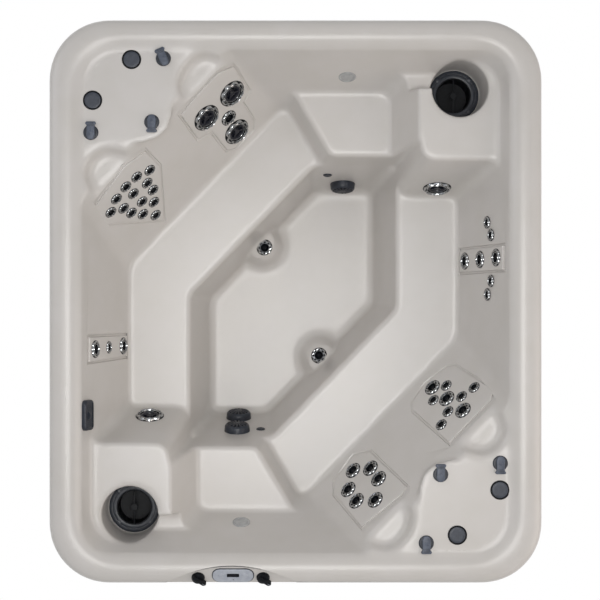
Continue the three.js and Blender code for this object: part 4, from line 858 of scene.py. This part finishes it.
jetGroups = {
    "left_seat": {
        "edge": 5,
        "outline": [
            (0.577, 0.827), (0.578, 0.582), (0.738, 0.076), (0.933, 0.579), (0.931, 0.788), (0.69, 0.882),
        ],
        "mini": [
            (0.622, 0.642), (0.683, 0.699), (0.67, 0.557), (0.747, 0.71), (0.674, 0.445), (0.746, 0.586),
            (0.814, 0.689), (0.745, 0.442), (0.71, 0.332), (0.823, 0.548), (0.814, 0.44), (0.874, 0.626),
            (0.783, 0.326), (0.747, 0.202),
        ],
    },
    "rear_seat": {
        "edge": 5,
        "outline": [
            (0.045, 0.777), (0.06, 0.44), (0.116, 0.398), (0.127, 0.139), (0.16, 0.06), (0.27, 0.06),
            (0.307, 0.121), (0.301, 0.424), (0.37, 0.481), (0.357, 0.82), (0.287, 0.846), (0.117, 0.856),
        ],
        "rotary": [(0.125, 0.573), (0.281, 0.591), (0.219, 0.2)], "medium": [(0.206, 0.393)],
    },
    "right_seat": {
        "edge": 12,
        "outline": [
            (0.894, 0.22), (0.919, 0.745), (0.878, 0.793), (0.62, 0.795), (0.615, 0.229), (0.643, 0.15),
            (0.74, 0.1), (0.866, 0.15),
        ],
        "medium": [(0.751, 0.206), (0.756, 0.424), (0.764, 0.656)],
        "mini": [
            (0.799, 0.31), (0.873, 0.564), (0.711, 0.321), (0.806, 0.532), (0.716, 0.541), (0.653, 0.591),
        ],
    },
    "front_seat": {
        "edge": 12,
        "outline": [
            (0.345, 0.2), (0.351, 0.79), (0.311, 0.818), (0.09, 0.741), (0.095, 0.24), (0.141, 0.13),
            (0.278, 0.081),
        ],
        "medium": [
            (0.23, 0.215), (0.294, 0.348), (0.288, 0.505), (0.156, 0.335), (0.149, 0.499), (0.213, 0.649),
        ],
    },
    "left_wall": {
        "edge": 6, "outline": [(0.495, 0.83), (0.495, 0.035), (0.64, 0.035), (0.655, 0.83)],
        "medium": [(0.575, 0.72), (0.566, 0.125)], "mini": [(0.569, 0.438)],
    },
    "right_wall": {
        "edge": 13, "outline": [(0.615, 0.04), (0.625, 0.87), (0.468, 0.87), (0.46, 0.04)],
        "medium": [(0.538, 0.152), (0.543, 0.45), (0.55, 0.753)],
        "mini": [(0.79, 0.583), (0.703, 0.653), (0.395, 0.653), (0.305, 0.589)],
        "tie": [(0.79, 0.583), (0.703, 0.653), (0.55, 0.7), (0.395, 0.653), (0.305, 0.589)],
    },
}
rotaryFace = {"spoke": 8.2, "low": -13.7, "high": 3.8}


def rotaryFacePart():
    low, high = rotaryFace["low"], rotaryFace["high"]
    part = lathe([
        (0, high - 1), (5, high), (10, high - 0.4), (12.7, high - 2.4), (13.6, -6), (20, -8.4), (28, -7.5),
        (30.8, high - 3.2), (32.4, high - 0.8), (37, high - 0.2), (40.6, high - 0.8), (41.2, high),
        (42.4, high), (42.9, high - 1.6), (42.9, low), (0, low),
    ], 48)
    paintFaces(part, 2, lambda c: c.xy.length > 40.8 and c.z > 0)
    for turn in range(3):
        place = Matrix.Rotation(math.tau * turn / 3 + math.pi / 2, 4, "Z")
        spoke = block((22, rotaryFace["spoke"], 11), (21.5, 0, -3.4), 1.6)
        addPart(part, spoke, place)
        spoutHole = lathe([(0, -7.4), (3.2, -7.4), (3.8, -4.4), (5.4, -4.2), (6.2, -7.8), (0, -7.8)], 16)
        addPart(
            part, spoutHole, place @ Matrix.Rotation(math.pi / 3, 4, "Z") @ Matrix.Translation((21.5, 0, 0)),
            1,
        )
    return part


facets = bmesh.new()
grooveBeds = bmesh.new()  # they close the grooves from behind where the sheet is rounded away
bedTop = -panelForm["grooveDepth"] - clearance
rotaryPlaces = {}
for name, group in jetGroups.items():
    length, slope = wallSize(bench, group["edge"])
    onWall = wallPlace(bench, group["edge"])
    outline = [Vector((-along * length, up * slope)) for along, up in group["outline"]]
    area = sum(a.x * b.y - a.y * b.x for a, b in zip(outline, outline[1:] + outline[:1]))
    outline = outline if area > 0 else outline[::-1]
    addPart(facets, slab(outline, -panelForm["grooveDepth"] - 1, panelForm["raise"], 4, 4), onWall)
    edges = [end - start for start, end in zip(outline, outline[1:] + outline[:1])]
    slopes = [panelForm["highSlope" if -edge.x > 0.3 * edge.length else "lowSlope"] for edge in edges]
    near = offsetCorners(outline, [panelForm["groove"]] * len(outline))
    grooves.append(placed(tapered(near, -panelForm["grooveDepth"], offsetCorners(near, slopes), 2), onWall))
    addPart(grooveBeds, slab(near, bedTop - panelForm["bed"], bedTop), onWall)
    podLow = -jetTrim["depth"] - panelForm["podThickness"] / 2
    podOutline = offsetCorners(outline, [-panelForm["inset"]] * len(outline))
    jets = slab(podOutline, podLow, podLow + panelForm["podThickness"], 4)
    tieZ = podLow + panelForm["podThickness"] / 2
    ties = [(-along * length, up * slope, tieZ) for along, up in group.get("tie", [])]
    for start, end in zip(ties, ties[1:]):
        addPart(jets, rod(start, end, panelForm["tie"]))
    paintFaces(jets, jetTrim["pipe"], lambda centre: True)
    for kind in jetKinds:
        for along, up in group.get(kind, []):
            place = Matrix.Translation((-along * length, up * slope, panelForm["raise"]))
            addPart(jets, jetPart(kind), place)
            holeAt(jetKinds[kind]["body"] + clearance, onWall @ place)
            if kind == "rotary":
                rotaryPlaces[f"rotary_jet_face_{len(rotaryPlaces) + 1}"] = onWall @ place
    makePiece(
        "jets_" + name, jets, (steel, coreAbs, pvcPipe), stands=("jet_pod_" + name,),
        place=onWall,
    )

sideJets = {"rear": (0, 0.372, 0.18), "front": (7, 0.372, 0.2)}
elbow = {"length": 70, "radius": 24}
for name, spot in sideJets.items():
    place = wallPlace(bench, *spot)
    jets = jetPart("rotary")
    low = elbow["radius"] - jetTrim["depth"] - elbow["length"] / 2
    addPart(
        jets, rod((0, 0, low), (0, elbow["length"] + elbow["radius"], low), elbow["radius"], 24), still, 2,
    )
    addPart(jets, rod((0, 0, low), (0, 0, 4 - jetTrim["depth"]), elbow["radius"], 24), still, 2)
    makePiece(
        "jets_side_" + name, jets, (steel, coreAbs, pvcPipe), stands=("side_jet_" + name,),
        place=place,
    )
    holeAt(jetKinds["rotary"]["body"] + clearance, place)
    rotaryPlaces["side_jet_face_" + name] = place

for name, place in rotaryPlaces.items():
    makePiece(
        "turning_" + name, rotaryFacePart(), (faceAbs, coreAbs, steel), body=name,
        stands=(name,),
        place=place,
    )

footPipe = {"radius": 20, "drop": 30}
off = Vector((-padOut.x * padTilt, -padOut.y * padTilt, 1)).normalized()
across = Vector((-padOut.y, padOut.x, 0))
padOrigin = pad["at"].to_3d() + Vector((0, 0, footwell["floor"] + pad["height"])) + off.cross(across) * 12
padTurn = Matrix((across, off.cross(across), off)).transposed().to_4x4()
padPlaces = bothPlaces(Matrix.Translation(padOrigin) @ padTurn)
footZ = footwell["floor"] - shellForm["wall"] - footPipe["drop"]
jets = bmesh.new()
ends = []
for place in padPlaces:
    addPart(jets, jetPart("medium"), place)
    holeAt(jetKinds["medium"]["body"] + clearance, place, -jetTrim["depth"])
    top = place @ Vector((0, 0, 4 - jetTrim["depth"]))
    ends.append((top.x, top.y, footZ))
    addPart(jets, rod((top.x, top.y, footZ - 10), top, footPipe["radius"], 24), still, 2)
addPart(jets, rod(*ends, footPipe["radius"], 24), still, 2)
makePiece("jets_footwell", jets, (steel, coreAbs, pvcPipe), stands=("footwell_jets",))
print("jets made")


# Suction covers with slotted domes, and the small vents beside them

suction = {"radius": 60, "body": 38, "depth": 60, "slots": 15, "slotDepth": 7, "pipe": 11}
vent = {"radius": 21, "body": 12, "depth": 60}
suctionGroups = {
    "rear": {"edge": 0, "covers": [(0.54, 0.278)], "vent": (0.815, 0.65)},
    "front": {"edge": 3, "covers": [(0.5, 0.235), (0.485, 0.755)], "vent": (0.87, 0.7)},
}


def suctionPart():
    part = lathe([
        (0, 40), (9, 39.8), (12, 38.6), (16, 38.9), (28, 38.2), (40, 36.8), (48, 35), (51.5, 33.4), (54, 31),
        (56.6, 27), (58, 24), (58.8, 14), (suction["radius"], 3), (suction["radius"], clearance),
        (suction["body"], clearance), (suction["body"], -suction["depth"]), (0, -suction["depth"]),
    ], suction["slots"] * 4)
    slotFaces = [face for face in part.faces if (
        16 < face.calc_center_median().xy.length < 48 and face.calc_center_median().z > 32
        and 0.5 < spinPhase(face.calc_center_median(), suction["slots"]) < 1.0)]
    low = newVerts(bmesh.ops.extrude_face_region(part, geom=slotFaces))
    bmesh.ops.delete(part, geom=slotFaces, context="FACES_ONLY")
    bmesh.ops.translate(part, vec=(0, 0, -suction["slotDepth"]), verts=low)
    # the slot floors and the foot of their walls are painted near black: painted shade in the slots
    paintFaces(part, 1, lambda c: 15 < c.xy.length < 49 and 26 < c.z < 33.4)
    return part


def ventPart():
    return lathe([
        (0, 3.6), (4.6, 3.6), (5.6, 6.6), (7, 7), (13, 6.8), (16.5, 5.8), (20, 3.4), (vent["radius"], 1.6),
        (vent["radius"], clearance), (vent["body"], clearance), (vent["body"], -vent["depth"]),
        (0, -vent["depth"]),
    ], 32)


for name, group in suctionGroups.items():
    length, slope = wallSize(footwell, group["edge"])
    onWall = wallPlace(footwell, group["edge"])
    spots = [
        Matrix.Translation((-along * length, up * slope, 0))
        for along, up in (*group["covers"], group["vent"])
    ]
    covers = bmesh.new()
    for spot in spots[:-1]:
        addPart(covers, suctionPart(), spot)
        holeAt(suction["body"] + clearance, onWall @ spot)
    addPart(covers, ventPart(), spots[-1])
    holeAt(vent["body"] + clearance, onWall @ spots[-1])
    for start, end in zip(spots, spots[1:]):
        pipeAt = Vector((0, 0, suction["pipe"] - suction["depth"]))
        addPart(covers, rod(start @ pipeAt, end @ pipeAt, suction["pipe"]), still, 2)
    makePiece(
        "suction_covers_" + name, covers, (slateAbs, coreAbs, pvcPipe),
        stands=("suction_" + name,),
        place=onWall,
    )


# Light lenses

lens = {"radius": 39, "body": 27, "depth": 34, "flutes": 24, "fluteHeight": 0.35}
lensPlaces = {"rear": wallPlace(step, 1, 0.41, 0.349), "front": halfTurn @ wallPlace(step, 1, 0.408, 0.26)}
for name, place in lensPlaces.items():
    glass = lathe([
        (0, 6), (8, 5.9), (16, 5.6), (23, 4.9), (27, 3.8), (28.4, 3.2), (29.6, 4.8), (31, 5.4), (35, 5.2),
        (37.6, 3.8), (lens["radius"], 2.2), (lens["radius"], clearance), (lens["body"], clearance),
        (lens["body"], -lens["depth"]), (0, -lens["depth"]),
    ], lens["flutes"] * 3)
    for vert in glass.verts:
        if 10 < vert.co.xy.length < 26 and vert.co.z > 3:
            vert.co.z += lens["fluteHeight"] * math.cos(lens["flutes"] * math.atan2(vert.co.y, vert.co.x))
    makePiece(
        "light_glass_" + name, glass, (lensPc,), stands=("light_lens_" + name,), place=place,
    )
    holeAt(lens["body"] + clearance, place)


# Waterfall spout with its thumbwheel

spout = {
    "half": (66, 42), "radius": 21, "proud": 19, "crown": 7, "mouth": (108, 7, 38), "mouthY": -23.5,
    "tail": 34,
    "wheelY": 12, "ribs": 7, "rib": (1.2, 34, 3), "ribPitch": 5, "ribAside": 40, "neck": (66, 42), "root": 4,
}
wheel = {"radius": 19, "thickness": 12, "centre": 12, "teeth": 16, "valley": 0.94}
spoutPlace = wallPlace(bench, 6, 1.005, 0.895)
body = slab(rectangle(*spout["half"]), clearance, spout["proud"], spout["crown"], 5, [spout["radius"]] * 4)
spoutThing = makeObject("spout", body)
wheelEnds = [(0, spout["wheelY"] + side * (wheel["thickness"] / 2 + 1), wheel["centre"]) for side in (-1, 1)]
slots = [
    block(spout["mouth"], (0, spout["mouthY"], spout["proud"] * 1.25)),
    rod(*wheelEnds, wheel["radius"] + 1, 48),
]
for rib in range(spout["ribs"]):
    across = (rib - (spout["ribs"] - 1) / 2) * spout["ribPitch"] + spout["ribAside"] * (1 if rib % 2 else -1)
    slots.append(block(spout["rib"], (across, spout["wheelY"], spout["proud"])))
cutFrom(spoutThing, slots)
body = takeBack(spoutThing)
neckSize = (*spout["neck"], spout["tail"] + spout["root"])
addPart(body, block(neckSize, (0, 0, (spout["root"] - spout["tail"]) / 2)))
makePiece("spout_body", body, (slateAbs,), stands=("waterfall_spout",), place=spoutPlace)
holes.append(placed(block([side + 2 * clearance for side in spout["neck"]] + [30], (0, 0, -2)), spoutPlace))
turning = rod(
    (0, 0, -wheel["thickness"] / 2), (0, 0, wheel["thickness"] / 2), wheel["radius"], wheel["teeth"] * 4,
)
for vert in turning.verts:
    tooth = (math.atan2(vert.co.y, vert.co.x) / math.tau * wheel["teeth"]) % 1
    if tooth > 0.5:
        drawIn(vert, wheel["valley"])
wheelPlace = spoutPlace @ Matrix.Translation((0, spout["wheelY"], wheel["centre"]))
wheelPlace = wheelPlace @ Matrix.Rotation(math.pi / 2, 4, "X")
makePiece(
    "spout_wheel", turning, (slateAbs,), body="waterfall_wheel", stands=("waterfall_wheel",),
    place=wheelPlace,
)
print("wall fittings made")


# Deck fittings: air valves with levers, and pop-up speakers in their cups

valve = {"radius": 33, "body": 24, "depth": 45, "pipe": 13}
lever = {
    "low": 5.3, "thickness": 11, "bevel": 3, "shaft": 8, "grooves": 3,
    "outline": [
        (-18.5, -13), (-11, -31), (11, -31), (18.5, -13), (17.5, 8), (17, 29), (23.5, 38), (20, 46),
        (-20, 46), (-23.5, 38), (-17, 29), (-17.5, 8),
    ],
    "radii": [5, 9, 9, 5, 12, 9, 3, 7, 7, 3, 9, 12],
}
valvePlaces = {
    "rear_left": [(-0.536, 0.862, 24), (-0.583, 0.637, 180), (-0.83, 0.6, 0)],
    "front_right": [(0.588, -0.614, 0), (0.83, -0.574, 180), (0.53, -0.857, 180)],
}


def valvePart():
    return lathe([
        (8.6, -15), (8.6, 3.4), (11, 5), (27, 5), (29.5, 4.4), (32, 3), (valve["radius"], 1.6),
        (valve["radius"], clearance), (valve["body"], clearance), (valve["body"], -valve["depth"]),
        (0, -valve["depth"]), (0, -15), (8.6, -15),
    ], 40)


def leverPart():
    outline = [Vector(corner) for corner in lever["outline"]]
    low, high = lever["low"], lever["low"] + lever["thickness"]
    part = slab(outline, low, high, lever["bevel"], 3, lever["radii"])
    addPart(part, rod((0, 0, -14.8), (0, 0, low + 2), lever["shaft"], 24))
    addPart(
        part, lathe([(0, high + 1.2), (6, high + 1.2), (8, high + 0.4), (9, high - 1), (0, high - 1)], 24),
    )
    # the grip grooves are low dark slate ribs: the grooves' shade is painted in the slate
    for groove in range(lever["grooves"]):
        addPart(part, block((28, 2, 1.6), (0, 27 + groove * 6, high), 0.7), still, 1)
    return part


for corner, spots in valvePlaces.items():
    valves = bmesh.new()
    centres = [Vector((x * halfX, y * halfY, level["deck"])) for x, y, _ in spots]
    pipeAt = Vector((0, 0, valve["depth"] - valve["pipe"]))
    for centre in centres:
        addPart(valves, valvePart(), Matrix.Translation(centre))
        holeAt(valve["body"] + clearance, Matrix.Translation(centre))
    for start, end in zip(centres, centres[1:]):
        addPart(valves, rod(start - pipeAt, end - pipeAt, valve["pipe"]), still, 1)
    makePiece(
        "air_valves_" + corner, valves, (slateAbs, pvcPipe), stands=("valve_group_" + corner,),
    )
    for i, (centre, (_, _, degrees)) in enumerate(zip(centres, spots)):
        turn = Matrix.Translation(centre) @ Matrix.Rotation(math.radians(degrees), 4, "Z")
        name = f"valve_lever_{corner}_{i + 1}"
        makePiece(
            f"lever_{corner}_{i + 1}", leverPart(), (leverAbs, slateAbs), body=name,
            stands=(name,),
            place=turn,
        )

speaker = {
    "radius": 37, "bore": 37.3, "cup": 39.8, "flange": 42, "depth": 92, "floor": 2.5, "lip": 2.4, "ribs": 36,
    "ribDraw": 0.955,
}
speakerPlaces = {
    "rear_left": [(-0.665, 0.859), (-0.823, 0.714)], "front_right": [(0.829, -0.669), (0.656, -0.829)],
}


def cupPart():
    low = -speaker["depth"] - speaker["floor"]
    return lathe([
        (0, low), (speaker["cup"], low), (speaker["cup"], clearance),
        (speaker["flange"], clearance), (speaker["flange"], 1.4), (41, 2.3), (38.2, speaker["lip"]),
        (speaker["bore"], 1.6), (speaker["bore"], -speaker["depth"]), (0, -speaker["depth"]),
    ], 48)


def popUpPart():
    part = lathe([
        (0, 2.2), (12, 2.3), (24, 2.35), (33.4, speaker["lip"]), (34.6, 1.8), (35, 0.2), (36.4, 0.1),
        (speaker["radius"], -0.6), (speaker["radius"], -12), (speaker["radius"], -50),
        (speaker["radius"], clearance - speaker["depth"]), (0, clearance - speaker["depth"]),
    ], 72)
    # the low ledge between the cap and the cup's bore is painted near black: painted shade in the gap
    paintFaces(part, 1, lambda c: c.xy.length > 34.2 and -5 < c.z < 2)
    grille = [face for face in part.faces if (
        -50 < face.calc_center_median().z < -12
        and spinPhase(face.calc_center_median(), speaker["ribs"]) < 0.5)]
    for face in grille:
        face.material_index = 1
    raised = bmesh.ops.extrude_discrete_faces(part, faces=grille)["faces"]
    for face in raised:
        for vert in face.verts:
            drawIn(vert, speaker["ribDraw"])
    return part


for corner, spots in speakerPlaces.items():
    for i, (x, y) in enumerate(spots):
        place = Matrix.Translation((x * halfX, y * halfY, level["deck"]))
        name = f"{corner}_{i + 1}"
        body = "popup_speaker_" + name
        makePiece(
            "cup_" + name, cupPart(), (coreAbs,), stands=("speaker_cup_" + name,), place=place,
        )
        makePiece(
            "speaker_" + name, popUpPart(), (capAbs, coreAbs), body=body, stands=(body,),
            place=place,
        )
        holeAt(speaker["cup"] + clearance, place)
print("deck fittings made")


# Filters: housing with its collar, lift-out basket and pleated cartridge

filters = {
    "collar": 116, "throat": 78, "pot": 86, "depth": 330, "lugs": 4, "basket": 77.7, "rimHeight": 14.3,
    "slots": 15, "basketDepth": 110, "pleats": 36, "fold": 0.84, "cartridge": 62, "cartridgeEnds": (-285.7, -93.7),
    "endCap": 4,
}
filterPlaces = bothPlaces(Matrix.Translation((well["at"].x, well["at"].y, well["ledge"])))


def housingPart():
    part = lathe([
        (0, -filters["depth"]), (filters["pot"], -filters["depth"]), (filters["pot"], clearance),
        (filters["collar"], clearance), (filters["collar"], 6), (114.5, 9), (108, 12), (103, 12.4),
        (102, 10.6), (98, 10.6), (97, 12.8), (90, filters["rimHeight"]), (80, filters["rimHeight"]),
        (filters["throat"], 13), (filters["throat"], 4 - filters["depth"]), (0, 4 - filters["depth"]),
    ], 72)
    for turn in range(filters["lugs"]):
        lug = block((16, 20, 3.4), (100, 0, 12.2), 1.2)
        addPart(part, lug, Matrix.Rotation(math.tau * (turn + 0.5) / filters["lugs"], 4, "Z"))
    return part


def basketPart():
    top = filters["rimHeight"]
    low = top - filters["basketDepth"]
    part = lathe([
        (0, low), (74.7, low), (75.4, low + 20), (77, top - 14), (filters["basket"], top - 2), (76.8, top),
        (75, top), (74.2, top - 8), (72.6, low + 20), (71.7, low + 3), (0, low + 3),
    ], 60)
    slots = [face for face in part.faces if (
        low + 20 < face.calc_center_median().z < top - 14 and face.calc_center_median().xy.length > 70
        and spinPhase(face.calc_center_median(), filters["slots"]) < 0.5)]
    bmesh.ops.delete(part, geom=slots, context="FACES")
    addPart(part, block((8, 148, 8), (0, 0, top - 8), 2.4))
    addPart(part, lathe([(0, top - 3.4), (15, top - 3.4), (17, top - 5), (17, top - 11), (0, top - 11)], 32))
    return part


def cartridgePart():
    (low, high), cap = filters["cartridgeEnds"], filters["endCap"]
    part = rod((0, 0, low + 2 * cap), (0, 0, high - 2 * cap), filters["cartridge"], filters["pleats"] * 2)
    for vert in part.verts:
        fold = round(math.atan2(vert.co.y, vert.co.x) / math.tau * filters["pleats"] * 2) % 2
        drawIn(vert, filters["fold"] if fold else 1)
    for end in (low + cap, high - cap):
        outline = [(0, end - cap), (60, end - cap), (62, end - 2), (62, end + cap), (0, end + cap)]
        addPart(part, lathe(outline, 48), still, 1)
    return part


for name, place in zip(("rear", "front"), filterPlaces):
    housing = housingPart()
    # the throat's inner wall and floor are painted near black: painted shade deep in the pot
    paintFaces(housing, 1, lambda c: c.xy.length < filters["throat"] + 1)
    node = "filter_housing_" + name
    body = "filter_basket_" + name
    makePiece("filter_pot_" + name, housing, (slateAbs, coreAbs), stands=(node,), place=place)
    holeAt(filters["pot"] + clearance, place)
    makePiece(
        "basket_" + name, basketPart(), (coreAbs,), body=body, stands=(body,), place=place,
    )
    makePiece(
        "cartridge_" + name, cartridgePart(), (pleatCloth, coreAbs), body=body, stands=(body,),
        place=place,
    )
print("filters made")


# Controls: the arched plate in the front rim, its display, keys and knobs

fascia = {
    "x": -0.259 * halfX, "halfChord": 280, "rise": 76, "crestDrop": 14, "slope": 0.6, "thickness": 7,
    "seam": 4, "land": 6,
}
fascia["radius"] = (fascia["halfChord"] ** 2 + fascia["rise"] ** 2) / (2 * fascia["rise"])
apexY = -halfY + fascia["rise"]


def fasciaZ(y):
    return tub["height"] - fascia["crestDrop"] + (y - apexY) * fascia["slope"]


def archPart(grow, thickness=None, top=None, lift=0.0, front=-halfY, bevel=0.0):
    # a disc cut straight along the front edge, made thick, and laid on the slope of the pocket
    part = bmesh.new()
    bmesh.ops.create_circle(part, cap_ends=True, segments=192, radius=fascia["radius"] + grow)
    bmesh.ops.translate(part, vec=(fascia["x"], apexY - fascia["radius"], 0), verts=part.verts)
    bmesh.ops.bisect_plane(
        part, geom=part.verts[:] + part.edges[:] + part.faces[:], dist=0.001, plane_co=(0, front, 0),
        plane_no=(0, 1, 0), clear_inner=True,
    )
    high = newVerts(bmesh.ops.extrude_face_region(part, geom=part.faces[:]))
    bmesh.ops.translate(part, vec=(0, 0, thickness or 1), verts=high)
    bmesh.ops.recalc_face_normals(part, faces=part.faces)
    if bevel:
        bevelEdges(part, [e for e in part.edges if all(v.co.z > thickness - 0.01 for v in e.verts)], bevel, 3)
    upper = [v for v in part.verts if top is not None and v.co.z > 0.5]
    for vert in part.verts:
        vert.co.z += fasciaZ(vert.co.y) + lift
    for vert in upper:
        vert.co.z = top
    return part


tilt = math.atan(fascia["slope"])
plateLift = (clearance + fascia["thickness"]) * math.cos(tilt)


def fasciaPlace(across, up, lift=0.0):
    y = -halfY + up * fascia["rise"]
    turn = Matrix.Rotation(tilt, 4, "X")
    spot = Vector((fascia["x"] + across * fascia["halfChord"], y, fasciaZ(y))) + turn @ Vector((0, 0, lift))
    return Matrix.Translation(spot) @ turn


display = {
    "half": (88, 35), "rim": (91.5, 38.5), "down": 1.8, "height": 6, "window": (28.5, 11.5), "keyOffset": 52,
    "keyBore": 13.4,
}
knob = {
    "radius": 29, "height": 26, "boss": 15, "bossDepth": 30, "shaft": 6, "turn": -38, "flutes": 20,
    "grip": 0.03,
    "pointer": ((-26, -10), (32.5, -10), (38.5, -5), (41, 4), (37, 10), (-26, 10)),
    "radii": [6, 4, 3, 3, 4, 6],
}
knobPlaces = [fasciaPlace(-0.52, 0.36), fasciaPlace(0.485, 0.36)]
displayPlace = fasciaPlace(0.02, 0.52, plateLift)

plate = archPart(0, fascia["thickness"], lift=clearance, bevel=1.6)
for place in knobPlaces:
    addPart(plate, lathe([
        (6.4, -15), (6.4, plateLift - 0.2), (knob["boss"], plateLift - 0.2),
        (knob["boss"], -knob["bossDepth"]), (0, -knob["bossDepth"]), (0, -15), (6.4, -15),
    ], 32), place, 1)
    holeAt(knob["boss"] + clearance, place, -knob["bossDepth"] - 6)
addPart(plate, archPart(fascia["seam"] - 0.6, 2, lift=clearance), still, 1)  # dark slate sheet under the seam: painted seam shade
makePiece("control_plate", plate, (acrylic, slateAbs), stands=("control_fascia",))

bezel = slab(rectangle(*display["half"]), -3, display["height"], 2.4, 4, [display["half"][1] - 0.1] * 4)
bmesh.ops.translate(bezel, vec=(0, -display["down"], 0), verts=bezel.verts)
bezelThing = makeObject("bezel", bezel)
keyX = display["keyOffset"]
cutFrom(bezelThing, [
    *(rod((side * keyX, 0, 2), (side * keyX, 0, 9), display["keyBore"], 40) for side in (-1, 1)),
    slab(rectangle(*display["window"]), display["height"] - 1.6, 9, 0, 4, [4] * 4),
])
bezel = takeBack(bezelThing)
# a dark slate ring just round the bezel: painted shade in the seam about the display
seamShadeRing = slab(rectangle(*display["rim"]), -3, 3, 1.4, 4, [display["rim"][1] - 0.1] * 4)
addPart(bezel, seamShadeRing, Matrix.Translation((0, -display["down"], 0)), 1)
window = rectangle(display["window"][0] - 2, display["window"][1] - 2)
addPart(bezel, slab(window, 3, display["height"] - 0.9, 0.6, 4, [3] * 4), still, 2)
addPart(
    bezel, lathe([(0, 7.1), (1.4, 7), (2.2, 6.2), (2.4, 5), (0, 5)], 20), Matrix.Translation((1.5, -23, 0)),
    2,
)
makePiece(
    "control_display", bezel, (silverAbs, slateAbs, lcd), stands=("control_fascia",),
    place=displayPlace,
)

for name, side in (("down_button", -1), ("up_button", 1)):
    key = lathe([(0, 7.6), (8, 7.5), (11.4, 7), (12.7, 6.2), (13, 5), (13, 4.2), (0, 4.2)], 40)
    arrow = [Vector((x * side, y * side)) for x, y in ((0, 5.4), (-4.8, -3), (4.8, -3))]
    addPart(key, slab(arrow, 6.8, 7.9, 0.3))
    place = displayPlace @ Matrix.Translation((side * keyX, 0, 0))
    makePiece("key_" + name, key, (silverAbs,), body=name, stands=(name,), place=place)


def knobPart():
    part = lathe([
        (0, clearance), (knob["radius"], clearance), (knob["radius"], 5), (28.4, 7.4), (27, 9), (25.6, 14.3),
        (24, 15), (0, 15),
    ], 60)
    for vert in part.verts:
        if 4 < vert.co.z < 14.9 and vert.co.xy.length > 25:
            flute = 0.5 - 0.5 * math.cos(knob["flutes"] * math.atan2(vert.co.y, vert.co.x))
            drawIn(vert, 1 - knob["grip"] * flute)
    outline = [Vector(corner) for corner in knob["pointer"]]
    addPart(part, slab(outline, 6.5, knob["height"], 2.6, 3, knob["radii"]))
    addPart(part, block((16, 1.6, 1), (32, 0, knob["height"] - 0.2), 0.3), still, 1)
    addPart(part, rod((0, 0, -14.7), (0, 0, 4), knob["shaft"], 20))
    return part


for name, place in zip(("left_diverter_knob", "right_diverter_knob"), knobPlaces):
    turn = place @ Matrix.Translation((0, 0, plateLift)) @ Matrix.Rotation(math.radians(knob["turn"]), 4, "Z")
    makePiece(
        name.replace("diverter_knob", "pointer_knob"), knobPart(), (coreAbs, silverAbs), body=name,
        stands=(name,), place=turn,
    )
print("controls made")


# The shell and its raised facets get their holes, and the pocket for the controls

def pocketWall():
    # the moulded wall round the pocket: an arc made thick, and raised to just under the rim's surface
    part = bmesh.new()
    inner = fascia["radius"] + fascia["seam"] + clearance
    outward = 1 + fascia["land"] / inner
    bmesh.ops.create_circle(part, segments=192, radius=inner)
    outer = newVerts(bmesh.ops.extrude_edge_only(part, edges=part.edges[:]))
    bmesh.ops.scale(part, vec=(outward, outward, 1), verts=outer)
    bmesh.ops.translate(part, vec=(fascia["x"], apexY - fascia["radius"], 0), verts=part.verts)
    bmesh.ops.bisect_plane(
        part, geom=part.verts[:] + part.edges[:] + part.faces[:], dist=0.001, plane_co=(0, 4 - halfY, 0),
        plane_no=(0, 1, 0), clear_inner=True,
    )
    upper = newVerts(bmesh.ops.extrude_face_region(part, geom=part.faces[:]))
    for vert in part.verts:
        vert.co.z = fasciaZ(vert.co.y) - shellForm["wall"]
    for vert in upper:
        fromEdge, surface = vert.co.y + halfY, rim["roll"]
        for width, rise in rim["shoulder"]:
            surface += rise * min(max(fromEdge / width, 0), 1)
            fromEdge -= width
        vert.co.z = surface - shellForm["wall"]
    bmesh.ops.recalc_face_normals(part, faces=part.faces)
    return part


pocket = archPart(fascia["seam"], top=cutTop + 10, front=-halfY - 12)
facetThing = makeObject("facets", facets)
cutFrom(facetThing, [hole.copy() for hole in holes])
bedThing = makeObject("beds", grooveBeds)
scoopSolids = [half for scoop in scoops for half in pairOf(hollowSolid(scoop))]
cutFrom(bedThing, [hole.copy() for hole in holes] + scoopSolids)
cutFrom(shellThing, [pocket, *holes, *grooves])
shellPiece = takeBack(shellThing)
addPart(shellPiece, archPart(fascia["seam"] + fascia["land"], shellForm["wall"], lift=-shellForm["wall"]))
addPart(shellPiece, pocketWall())
makePiece("shell", shellPiece, (acrylic,), stands=("acrylic_shell",), sharpAngle=50)
facets = takeBack(facetThing)
addPart(facets, takeBack(bedThing))
makePiece("jet_facets", facets, (acrylic,), stands=("acrylic_shell",))


# Parts whose shape is right as it is: the cabinet, frame, pan and equipment

carriedOver = {
    "base_pan": panPe, "support_frame": pine, "front_access_panel": composite, "right_panel": composite,
    "rear_panel": composite, "left_panel": composite, "corner_post_front_right": composite,
    "corner_post_rear_right": composite, "corner_post_rear_left": composite,
    "corner_post_front_left": composite, "pump_left": motorPaint, "pump_right": motorPaint,
    "heater_pack": packSteel, "drain_valve": pvcPipe,
}
for name, material in carriedOver.items():
    mesh = frame["nodes"][name].data
    mesh.materials.clear()
    mesh.materials.append(material)
print("carried-over parts finished")
